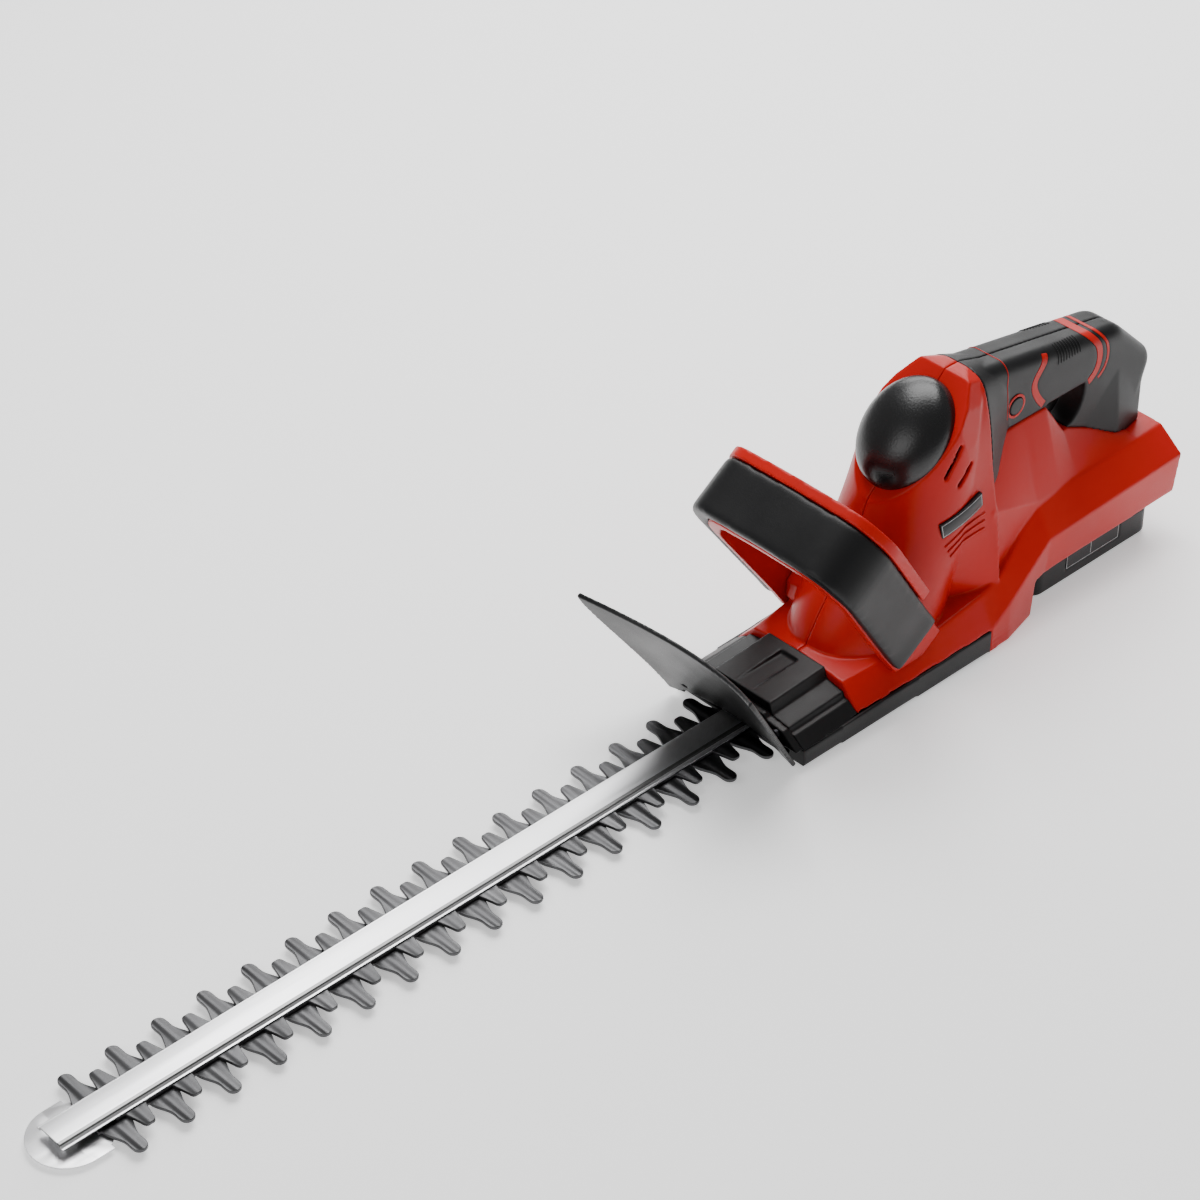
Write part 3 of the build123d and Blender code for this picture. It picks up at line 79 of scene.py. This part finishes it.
def new_material(name, color, roughness, metallic=0.0):
    """Material with a plain principled shader."""
    material = bpy.data.materials.new(name)
    material.use_nodes = True
    shader = material.node_tree.nodes["Principled BSDF"]
    shader.inputs["Base Color"].default_value = (*color, 1.0)
    shader.inputs["Roughness"].default_value = roughness
    shader.inputs["Metallic"].default_value = metallic
    return material, material.node_tree, shader


def object_coordinates(tree, scale):
    """Object coordinates in metres, stretched by scale along each axis."""
    coordinates = tree.nodes.new("ShaderNodeTexCoord")
    mapping = tree.nodes.new("ShaderNodeMapping")
    mapping.inputs["Scale"].default_value = scale
    link(tree, coordinates.outputs["Object"], mapping.inputs["Vector"])
    return mapping.outputs["Vector"]


def axes(tree, vector):
    """A vector's X, Y and Z, each as a socket."""
    split = tree.nodes.new("ShaderNodeSeparateXYZ")
    link(tree, vector, split.inputs["Vector"])
    return split.outputs


def noise(tree, vector, scale, detail=2.0):
    """Noise whose grain gets finer as scale, in cells per metre, rises."""
    texture = tree.nodes.new("ShaderNodeTexNoise")
    texture.inputs["Scale"].default_value = scale
    texture.inputs["Detail"].default_value = detail
    link(tree, vector, texture.inputs["Vector"])
    return texture.outputs["Fac"]


def ranged(tree, value, low, high):
    """Noise, which keeps mostly to its middle, spread out from low to high."""
    mapped = tree.nodes.new("ShaderNodeMapRange")
    mapped.inputs["From Min"].default_value = 0.3
    mapped.inputs["From Max"].default_value = 0.7
    mapped.inputs["To Min"].default_value = low
    mapped.inputs["To Max"].default_value = high
    link(tree, value, mapped.inputs["Value"])
    return mapped.outputs["Result"]


def bumped(tree, shader, height, depth, strength=1.0):
    """Relief of a given depth in metres on the shader's normal."""
    bump = tree.nodes.new("ShaderNodeBump")
    bump.inputs["Strength"].default_value = strength
    bump.inputs["Distance"].default_value = depth
    link(tree, height, bump.inputs["Height"])
    link(tree, bump.outputs["Normal"], shader.inputs["Normal"])
    return bump


def tinted(tree, shader, value, dark, light):
    """Base colour that runs from dark to light as value runs from 0 to 1."""
    mix = tree.nodes.new("ShaderNodeMix")
    mix.data_type = "RGBA"
    mix.inputs["A"].default_value = (*dark, 1.0)
    mix.inputs["B"].default_value = (*light, 1.0)
    link(tree, value, mix.inputs["Factor"])
    link(tree, mix.outputs["Result"], shader.inputs["Base Color"])


def plastic(name, color, roughness, grain, depth, coat=0.0, shine=0.28):
    """Moulded plastic: fine spark-eroded grain, uneven gloss and a slight drift of colour."""
    spread = 0.06
    material, tree, shader = new_material(name, color, roughness)
    even = object_coordinates(tree, EVEN)
    bumped(tree, shader, noise(tree, even, grain, 3.0), depth)
    slow = noise(tree, even, 22.0, 4.0)
    gloss = ranged(tree, slow, roughness - spread, roughness + spread)
    link(tree, gloss, shader.inputs["Roughness"])
    darker = tuple(part * 0.9 for part in color)
    lighter = tuple(min(1.0, part * 1.07) for part in color)
    tinted(tree, shader, ranged(tree, noise(tree, even, 9.0), 0.0, 1.0), darker, lighter)
    shader.inputs["Specular IOR Level"].default_value = shine
    shader.inputs["Coat Weight"].default_value = coat
    shader.inputs["Coat Roughness"].default_value = 0.12
    return material


def metal(name, color, roughness, stretch, depth):
    """Metal with grinding marks drawn out along the axes with a small stretch."""
    spread = 0.08
    material, tree, shader = new_material(name, color, roughness, 1.0)
    drawn = object_coordinates(tree, stretch)
    marks = noise(tree, drawn, 900.0, 4.0)
    bumped(tree, shader, marks, depth)
    slow = noise(tree, drawn, 160.0, 5.0)
    gloss = ranged(tree, slow, roughness - spread, roughness + spread)
    link(tree, gloss, shader.inputs["Roughness"])
    darker = tuple(part * 0.82 for part in color)
    tinted(tree, shader, ranged(tree, noise(tree, drawn, 70.0, 5.0), 0.0, 1.0), darker, color)
    return material


def calc(tree, operation, first, second=0.0):
    """Result of a math node on sockets or plain numbers."""
    node = tree.nodes.new("ShaderNodeMath")
    node.operation = operation
    for index, value in enumerate((first, second)):
        if isinstance(value, (int, float)):
            node.inputs[index].default_value = value
        else:
            link(tree, value, node.inputs[index])
    return node.outputs[0]


def within(tree, value, low, high):
    """Socket that is 1 where a value lies between two limits and 0 elsewhere."""
    return calc(tree, "MULTIPLY", calc(tree, "GREATER_THAN", value, low),
                calc(tree, "LESS_THAN", value, high))


TOOTH_GREY = (0.1, 0.1, 0.103)
ACROSS_BLADE = (1.0, 0.12, 0.3)
FLUTES_FROM = 12.5 * MM
FLUTE_DEPTH = 0.5 * MM
FLUTE_WAVES = 15.0  # radians of wave in one pitch, at the blade's middle
FLUTE_TAPER = 22.0  # how much finer the wave gets with each metre outwards
TURNS_BACK = 100  # keeps the count of pitches above zero behind the first tooth


def toothed(name, first_tooth):
    """Blade steel with flutes coined along each tooth, repeating at the tooth pitch."""
    material = metal(name, TOOTH_GREY, 0.42, ACROSS_BLADE, 0.00001)
    tree = material.node_tree
    shader = tree.nodes["Principled BSDF"]
    marks = shader.inputs["Normal"].links[0].from_node
    x, y, _ = axes(tree, object_coordinates(tree, EVEN))
    turns = calc(tree, "DIVIDE", calc(tree, "SUBTRACT", x, first_tooth), PITCH)
    into_tooth = calc(tree, "FRACT", calc(tree, "ADD", turns, TURNS_BACK + 0.5))
    across = calc(tree, "SUBTRACT", into_tooth, 0.5)
    outwards = calc(tree, "ABSOLUTE", y)
    narrow = calc(tree, "ADD", 1.0, calc(tree, "MULTIPLY", outwards, FLUTE_TAPER))
    phase = calc(tree, "MULTIPLY", calc(tree, "MULTIPLY", across, narrow), FLUTE_WAVES)
    wave = calc(tree, "COSINE", phase)
    beyond_bar = calc(tree, "GREATER_THAN", outwards, FLUTES_FROM)
    flutes = calc(tree, "MULTIPLY", wave, beyond_bar)
    relief = bumped(tree, shader, flutes, FLUTE_DEPTH, 0.9)
    link(tree, marks.outputs["Normal"], relief.inputs["Normal"])
    return material


BAR_GREY = (0.7, 0.7, 0.71)
GROOVE_SHADE = (0.2, 0.2, 0.2)
GROOVE_EDGES = (7.0 * MM, 9.7 * MM)


def grooved(name):
    """Bright drawn bar with a shaded groove along its left edge."""
    material = metal(name, BAR_GREY, 0.36, (0.03, 1.0, 1.0), 0.000003)
    tree = material.node_tree
    _, y, _ = axes(tree, object_coordinates(tree, EVEN))
    groove = within(tree, y, *GROOVE_EDGES)
    tinted(tree, tree.nodes["Principled BSDF"], groove, BAR_GREY, GROOVE_SHADE)
    return material


FACE_BLACK = (0.006, 0.006, 0.007)
LINE_SILVER = (0.5, 0.5, 0.51)
LINE_EDGES = (0.8 * MM, 1.2 * MM)
DIVIDER_HALF = 0.25 * MM
DIVIDER_INSET = 2.2 * MM


def bordered(name, centre, turn, long, high, divider=None):
    """Glossy face with a fine silver line round it, and across it at the divider."""
    material = plastic(name, FACE_BLACK, 0.3, 2500.0, 0.00001)
    tree = material.node_tree
    coordinates = tree.nodes.new("ShaderNodeTexCoord")
    mapping = tree.nodes.new("ShaderNodeMapping")
    mapping.vector_type = "TEXTURE"
    mapping.inputs["Location"].default_value = centre
    mapping.inputs["Rotation"].default_value = (0, turn, 0)
    link(tree, coordinates.outputs["Object"], mapping.inputs["Vector"])
    x, _, z = axes(tree, mapping.outputs["Vector"])
    along = calc(tree, "SUBTRACT", long / 2, calc(tree, "ABSOLUTE", x))
    up = calc(tree, "SUBTRACT", high / 2, calc(tree, "ABSOLUTE", z))
    inwards = calc(tree, "MINIMUM", along, up)
    line = within(tree, inwards, *LINE_EDGES)
    if divider is not None:
        off = calc(tree, "ABSOLUTE", calc(tree, "SUBTRACT", x, divider))
        bar_line = calc(tree, "MULTIPLY", calc(tree, "LESS_THAN", off, DIVIDER_HALF),
                        calc(tree, "GREATER_THAN", inwards, DIVIDER_INSET))
        line = calc(tree, "MAXIMUM", line, bar_line)
    tinted(tree, tree.nodes["Principled BSDF"], line, FACE_BLACK, LINE_SILVER)
    return material


# A plastic's colour and roughness, then its grain in cells per metre and depth in metres.
red = plastic("red_plastic", (0.5, 0.0075, 0.004), 0.34, 1900.0, 0.00005, shine=0.2)
black = plastic("black_plastic", (0.006, 0.006, 0.0065), 0.42, 1500.0, 0.00008)
guard_black = plastic("guard_plastic", (0.006, 0.006, 0.0065), 0.36, 1700.0, 0.00006)
cap_black = plastic("cap_plastic", (0.004, 0.004, 0.0045), 0.3, 700.0, 0.00012, shine=0.5)
plate_black = plastic("plate_black", FACE_BLACK, 0.22, 2500.0, 0.00001, coat=0.5)
nylon = plastic("white_nylon", (0.7, 0.69, 0.64), 0.5, 1500.0, 0.00005)
green = plastic("board_green", (0.02, 0.16, 0.06), 0.35, 900.0, 0.00004)
wrap = plastic("cell_wrap", (0.04, 0.14, 0.4), 0.3, 900.0, 0.00002)
lead = plastic("lead_red", (0.45, 0.03, 0.02), 0.45, 900.0, 0.00003)
# A metal's colour and roughness, then how its marks stretch and their depth in metres.
blade = metal("blade_steel", (0.34, 0.34, 0.35), 0.34, ACROSS_BLADE, 0.00004)
bar = grooved("bar_aluminium")
bright = metal("bright_steel", (0.62, 0.62, 0.63), 0.3, (0.3, 1.0, 1.0), 0.00003)
zinc = metal("zinc_alloy", (0.5, 0.5, 0.52), 0.5, EVEN, 0.00012)
brass = metal("brass", (0.75, 0.5, 0.18), 0.3, (0.5, 1.0, 1.0), 0.00002)
dark = metal("dark_steel", (0.045, 0.045, 0.05), 0.45, EVEN, 0.00003)

tall_steel = toothed("tall_teeth", FIRST_TALL)
short_steel = toothed("short_teeth", FIRST_SHORT)
plate_face = bordered("plate_face", PLATE_CENTRE, PLATE_TURN, PLATE_LONG, PLATE_HIGH)
panel_face = bordered("panel_face", PANEL_CENTRE, 0, PANEL_LONG, PANEL_HIGH, PANEL_DIVIDER)
pale = metal("pale_steel", (0.8, 0.8, 0.81), 0.4, (0.3, 1.0, 1.0), 0.00002)

finishes = {
    "red_plastic": red, "black_plastic": black, "guard_plastic": guard_black,
    "cap_plastic": cap_black, "plate_black": plate_black, "white_nylon": nylon,
    "board_green": green, "cell_wrap": wrap, "lead_red": lead, "blade_steel": blade,
    "bar_aluminium": bar, "bright_steel": bright, "zinc_alloy": zinc, "brass": brass,
    "dark_steel": dark,
}
slots = {entry["node"]: entry["material_slot"] for entry in frame["record"]["subparts"]}
bodies = frame["record"]["behaviour"]["bodies"]
body_of = {name: body for body, names in bodies.items() for name in names}

for name, node in nodes.items():
    node.data.materials.clear()
    node.data.materials.append(finishes[slots[name]])


# ------------------------------------------------------------------ mouldings
def dressed(obj, material):
    """Put an object in the scene with one material."""
    bpy.context.scene.collection.objects.link(obj)
    obj.data.materials.clear()
    obj.data.materials.append(material)


def place(obj, *replaced, material=None):
    """Put a finished piece in the scene in place of CAD nodes, moving with their body."""
    dressed(obj, material or finishes[slots[replaced[0]]])
    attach(obj, body_of[replaced[0]])
    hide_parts(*replaced)


def copied(name):
    """Copy of a CAD piece, not yet in the scene."""
    return bpy.data.objects.new(f"look_{name}", nodes[name].data.copy())


def smooth(polygons):
    """Shade faces as parts of one curved surface."""
    for polygon in polygons:
        polygon.use_smooth = True


def moulded(name, voxel, rounds):
    """Softened copy of a CAD moulding: every edge rounded as it leaves a mould."""
    obj = copied(name)
    remesh = obj.modifiers.new("remesh", "REMESH")
    remesh.mode = "VOXEL"
    remesh.voxel_size = voxel
    remesh.use_smooth_shade = True
    soften = obj.modifiers.new("soften", "SMOOTH")
    soften.factor = 0.5
    soften.iterations = rounds
    place(obj, name)


# Each moulding's voxel size in metres and its rounds of softening.
MOULDINGS = {
    "body_shell_left": (0.0008, 12), "body_shell_right": (0.0008, 12),
    "rear_grip_left": (0.0008, 12), "rear_grip_right": (0.0008, 12),
    "nose_cover": (0.0007, 4), "bottom_cover": (0.0010, 3), "blade_guard": (0.0008, 6),
    "front_handle_grip": (0.0011, 70), "front_handle_frame": (0.0009, 8),
    "battery_case_lower": (0.0008, 5), "battery_case_upper": (0.0008, 5),
    "trigger": (0.0004, 4), "battery_latch": (0.0004, 5),
}
for name, (voxel, rounds) in MOULDINGS.items():
    moulded(name, voxel, rounds)


def add_piece(obj, body, slot_name, material=None):
    """Put an extra piece of trim in the scene, moving with a body."""
    dressed(obj, material or finishes[slot_name])
    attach(obj, body)


def meshed(curve_object, name):
    """Curve object turned into a mesh object."""
    bpy.context.scene.collection.objects.link(curve_object)
    graph = bpy.context.evaluated_depsgraph_get()
    mesh = bpy.data.meshes.new_from_object(curve_object.evaluated_get(graph))
    mesh.name = name
    bpy.data.objects.remove(curve_object)
    return bpy.data.objects.new(name, mesh)


def bevelled(name, width, material=None):
    """Copy of a CAD piece with every sharp edge broken."""
    obj = copied(name)
    weld = obj.modifiers.new("weld", "WELD")
    weld.merge_threshold = 0.02 * MM
    flat = obj.modifiers.new("flat", "DECIMATE")
    flat.decimate_type = "DISSOLVE"
    flat.angle_limit = radians(1)
    edge = obj.modifiers.new("edge", "BEVEL")
    edge.width = width
    edge.segments = 2
    edge.limit_method = "ANGLE"
    edge.angle_limit = radians(35)
    edge.harden_normals = True
    smooth(obj.data.polygons)
    place(obj, name, material=material)


bevelled("guide_bar", 0.25 * MM)
bevelled("tip_plate", 0.25 * MM, material=pale)
bevelled("button_ring", 0.25 * MM)
bevelled("lock_button", 0.25 * MM)
bevelled("name_plate", 0.3 * MM, material=plate_face)


def sprung(name):
    """Smooth-shaded copy of a coil spring, put in place of its CAD piece with a mesh of its
    own.
    """
    obj = copied(name)
    smooth(obj.data.polygons)
    place(obj, name)
    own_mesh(obj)


sprung("trigger_spring")
sprung("latch_spring")


# ------------------------------------------------------------------ blades
TALL_COUNT, SHORT_COUNT = 16, 15
LOWER_Z, UPPER_Z = 3.5 * MM, 5.9 * MM
BLADE_THICK = 2.2 * MM
BLADE_HALF = 12.0 * MM
EDGE_ROUND = 0.35 * MM
BOLT_XS = [x * MM for x in (363.5, 253.5, 143.5, 33.5, -51.5)]
SLOT_HALF, SLOT_RADIUS = 8.5 * MM, 3.3 * MM
YOKE_BACK, YOKE_FRONT, YOKE_HALF = -204.8 * MM, -164.2 * MM, 27.0 * MM
YOKE_HOLE = [(x * MM, y * MM) for x, y in ((-198.8, -21), (-170.2, -21), (-170.2, 21),
                                           (-198.8, 21))]


def eased(t):
    """Rise from 0 to 1 that starts and ends level."""
    return t * t * (3 - 2 * t)


def tall_tooth():
    """Half-widths of a tall tooth from its root to its round tip, as x and y."""
    rise = [(9.4 - 4.8 * eased(step / 8), 12 + 16 * step / 8) for step in range(9)]
    rise.append((4.7, 31.5))
    cap = [(4.6 * cos(turn), 33.4 + 4.6 * sin(turn))
           for turn in (radians(15 * step) for step in range(7))]
    return [(x * MM, y * MM) for x, y in rise + cap]


def short_tooth():
    """Half-widths of a short tooth from its root to its square tip, as x and y."""
    points = ((6.8, 12), (5.4, 17.5), (4.3, 22), (3.8, 24.4), (3.1, 25.8), (1.9, 26.5))
    return [(x * MM, y * MM) for x, y in points]


def toothed_outline(half_tooth, first, count, x_front):
    """Closed outline of a blade: the yoke's block, a plain strip and teeth on both edges."""
    tooth = [(-x, y) for x, y in half_tooth] + [(x, y) for x, y in reversed(half_tooth)]
    upper = [(YOKE_BACK, YOKE_HALF), (YOKE_FRONT, YOKE_HALF), (YOKE_FRONT, BLADE_HALF)]
    for number in reversed(range(count)):
        centre = first - PITCH * number
        upper += [(centre + x, y) for x, y in tooth]
    upper.append((x_front, BLADE_HALF))
    return upper + [(x, -y) for x, y in reversed(upper)]


def stadium(x, half_length, radius):
    """Closed slot outline centred on the blade's axis."""
    points = []
    for sign in (1, -1):
        for step in range(9):
            turn = radians(-90 + 22.5 * step) if sign > 0 else radians(90 + 22.5 * step)
            points.append((x + sign * half_length + radius * cos(turn), radius * sin(turn)))
    return points


def flat_plate(name, loops, thickness, edge_round):
    """Plate in the XY plane with softly broken edges; the loops after the first are holes."""
    curve = bpy.data.curves.new(name, "CURVE")
    curve.dimensions = "2D"
    curve.fill_mode = "BOTH"
    curve.extrude = thickness / 2 - edge_round
    curve.bevel_depth = edge_round
    curve.bevel_resolution = 1
    curve.offset = -edge_round
    for loop in loops:
        spline = curve.splines.new("POLY")
        spline.points.add(len(loop) - 1)
        for point, (x, y) in zip(spline.points, loop):
            point.co = (x, y, 0, 1)
        spline.use_cyclic_u = True
    return meshed(bpy.data.objects.new(name, curve), f"look_{name}")


def flat_blade(name, outline, bottom, material):
    """Blade from its outline, with its yoke and bolt slots cut out."""
    bolt_slots = [stadium(x, SLOT_HALF, SLOT_RADIUS) for x in BOLT_XS]
    obj = flat_plate(name, [outline, YOKE_HOLE, *bolt_slots], BLADE_THICK, EDGE_ROUND)
    obj.data.transform(Matrix.Translation((0, 0, bottom + BLADE_THICK / 2)))
    place(obj, name, material=material)


tall_outline = toothed_outline(tall_tooth(), FIRST_TALL, TALL_COUNT, FIRST_TALL + 11 * MM)
short_outline = toothed_outline(short_tooth(), FIRST_SHORT, SHORT_COUNT, FIRST_TALL - 1 * MM)
flat_blade("lower_blade", tall_outline, LOWER_Z, tall_steel)
flat_blade("upper_blade", short_outline, UPPER_Z, short_steel)


# ------------------------------------------------------------------ motor cap
RIM_CENTRE = Vector((-227.8 * MM, 0, 155.1 * MM))
RIM_TURN = radians(45.8)


def dome(half_long, half_wide, rise):
    """Smooth dome with a small turned-in lip, standing on the sloping rim."""
    rings, sides = 28, 96
    points = [(1.0, -0.06)]
    for ring in range(rings):
        height = sin(pi / 2 * ring / rings)
        points.append(((1 - height ** 2.2) ** 0.5, height))
    verts = []
    for share, height in points:
        for side in range(sides):
            turn = 2 * pi * side / sides
            verts.append((half_long * share * cos(turn), half_wide * share * sin(turn),
                          rise * height))
    verts.append((0, 0, rise))
    faces = []
    for ring in range(len(points) - 1):
        for side in range(sides):
            following = (side + 1) % sides
            faces.append((ring * sides + side, ring * sides + following,
                          (ring + 1) * sides + following, (ring + 1) * sides + side))
    last = (len(points) - 1) * sides
    faces += [(last + side, last + (side + 1) % sides, len(verts) - 1) for side in range(sides)]
    faces.append(tuple(reversed(range(sides))))
    mesh = bpy.data.meshes.new("look_motor_cap")
    mesh.from_pydata(verts, [], faces)
    smooth(mesh.polygons[:-1])
    mesh.transform(Matrix.Translation(RIM_CENTRE) @ Matrix.Rotation(RIM_TURN, 4, "Y"))
    return bpy.data.objects.new("look_motor_cap", mesh)


place(dome(half_long=38.0 * MM, half_wide=30.8 * MM, rise=21 * MM), "motor_cap")


# ------------------------------------------------------------------ raised lines
def skin_of(*names):
    """Search tree over the surfaces of CAD pieces."""
    verts, faces = [], []
    for name in names:
        start = len(verts)
        mesh = nodes[name].data
        verts += [vertex.co.copy() for vertex in mesh.vertices]
        faces += [[start + corner for corner in polygon.vertices] for polygon in mesh.polygons]
    return BVHTree.FromPolygons(verts, faces)


def bead(name, skin, rays, radius, slot_name):
    """Thin moulded bead laid on a surface where rays, each a start and a direction, meet it."""
    hits = [skin.ray_cast(Vector(start), Vector(way).normalized())[0] for start, way in rays]
    hits = [hit for hit in hits if hit is not None]
    curve = bpy.data.curves.new(name, "CURVE")
    curve.dimensions = "3D"
    curve.bevel_depth = radius
    curve.bevel_resolution = 3
    curve.use_fill_caps = True
    spline = curve.splines.new("POLY")
    spline.points.add(len(hits) - 1)
    for point, hit in zip(spline.points, hits):
        point.co = (*hit, 1)
    obj = meshed(bpy.data.objects.new(name, curve), name)
    smooth(obj.data.polygons)
    add_piece(obj, "housing", slot_name)


OUTSIDE = 0.1  # how far off the surface a ray starts


def ring_rays(x, z, start_turn, end_turn, count):
    """Rays that look in from all round at the grip's section at x, turns in degrees from +Y."""
    rays = []
    for step in range(count + 1):
        turn = radians(start_turn + (end_turn - start_turn) * step / count)
        way = Vector((0, cos(turn), sin(turn)))
        rays.append((Vector((x, 0, z)) + way * OUTSIDE, -way))
    return rays


grip_skin = skin_of("rear_grip_left", "rear_grip_right")
seam_rays = ring_rays(-300.5 * MM, 155 * MM, -35, 215, 80)
bead("collar_seam", grip_skin, seam_rays, 0.35 * MM, "red_plastic")

RIBS, FIRST_RIB, RIB_PITCH = 9, -350, 2.7
RIB_TURNS = {"left": (28, 62), "right": (118, 152)}
for number in range(RIBS):
    x = (FIRST_RIB - RIB_PITCH * number) * MM
    for side, turns in RIB_TURNS.items():
        rib_rays = ring_rays(x, 150 * MM, *turns, 12)
        bead(f"grip_rib_{side}_{number}", grip_skin, rib_rays, 0.5 * MM, "black_plastic")

# The hump's ridges lie below the name plate, each shorter than the one above; in millimetres.
RIDGE_ORIGIN = Vector((-240, 0, 107.2))
RIDGE_HALF, RIDGE_LOSS = 19, 1.5
RIDGE_DROP, RIDGE_GAP, RIDGE_SAG = 11, 5.2, 1.2
shell_skin = skin_of("body_shell_left", "body_shell_right")
along_plate = Vector((-cos(PLATE_TURN), 0, sin(PLATE_TURN)))
across_plate = Vector((sin(PLATE_TURN), 0, cos(PLATE_TURN)))
for side in (-1, 1):
    for number in range(3):
        rays = []
        for step in range(17):
            share = step / 8 - 1
            reach = share * (RIDGE_HALF - RIDGE_LOSS * number)
            drop = RIDGE_DROP + RIDGE_GAP * number + RIDGE_SAG * share ** 2
            spot = (RIDGE_ORIGIN + along_plate * reach - across_plate * drop) * MM
            rays.append((spot + Vector((0, side * OUTSIDE, 0)), (0, -side, 0)))
        bead(f"hump_ridge_{side}_{number}", shell_skin, rays, 0.9 * MM, "red_plastic")


# ------------------------------------------------------------------ battery side panels
def rounded_outline(long, high, radius):
    """Closed rectangle outline with round corners."""
    points = []
    for quarter in range(4):
        centre_x = (long / 2 - radius) * (1 if quarter in (0, 3) else -1)
        centre_y = (high / 2 - radius) * (1 if quarter in (0, 1) else -1)
        for step in range(6):
            turn = radians(90 * quarter + 18 * step)
            points.append((centre_x + radius * cos(turn), centre_y + radius * sin(turn)))
    return points


BATTERY_HALF = 39.65 * MM
panel_outline = rounded_outline(PANEL_LONG, PANEL_HIGH, 3 * MM)
for side in (-1, 1):
    panel = flat_plate(f"battery_panel_{side}", [panel_outline], 0.45 * MM, 0.1 * MM)
    spot = Matrix.Translation((PANEL_CENTRE[0], side * BATTERY_HALF, PANEL_CENTRE[2]))
    panel.data.transform(spot @ Matrix.Rotation(pi / 2, 4, "X"))
    add_piece(panel, "battery_pack", "plate_black", panel_face)

# ------------------------------------------------------------------ stage
WHITE = (1, 1, 1, 1)
bpy.ops.mesh.primitive_plane_add(size=12, location=(0, 0, -0.5 * MM))
floor = bpy.context.active_object
floor.name = "floor"
floor_paint, _, floor_shader = new_material("floor_paint", (0.95, 0.95, 0.95), 0.7)
floor_shader.inputs["Emission Color"].default_value = WHITE
floor_shader.inputs["Emission Strength"].default_value = 0.5
floor.data.materials.append(floor_paint)


def softbox(name, place_at, target, size_x, size_y, power):
    """Rectangular area light aimed at a point."""
    light = bpy.data.lights.new(name, "AREA")
    light.shape = "RECTANGLE"
    light.size = size_x
    light.size_y = size_y
    light.energy = power
    lamp = bpy.data.objects.new(name, light)
    lamp.location = place_at
    aim = Vector(target) - Vector(place_at)
    lamp.rotation_euler = aim.to_track_quat("-Z", "Y").to_euler()
    bpy.context.scene.collection.objects.link(lamp)


softbox("overhead", (-0.7, -0.6, 1.7), (-0.1, 0, 0.05), size_x=1.6, size_y=1.2, power=48)
softbox("behind", (-1.5, -1.3, 1.0), (-0.2, 0, 0.1), size_x=1.4, size_y=0.9, power=18)
softbox("front_left", (1.7, 0.1, 1.3), (0, 0, 0.05), size_x=1.2, size_y=1.0, power=10)

world = bpy.data.worlds.new("studio")
world.use_nodes = True
background = world.node_tree.nodes["Background"]
background.inputs["Color"].default_value = WHITE
background.inputs["Strength"].default_value = 0.3
bpy.context.scene.world = world

camera = bpy.data.objects.new("camera", bpy.data.cameras.new("camera"))
camera.location = (1.10041, 1.13179, 1.33596)
camera.rotation_euler = (radians(90 - 37.06), 0, radians(136.66))
camera.data.lens = 101.82
camera.data.sensor_width = 36
bpy.context.scene.collection.objects.link(camera)
bpy.context.scene.camera = camera
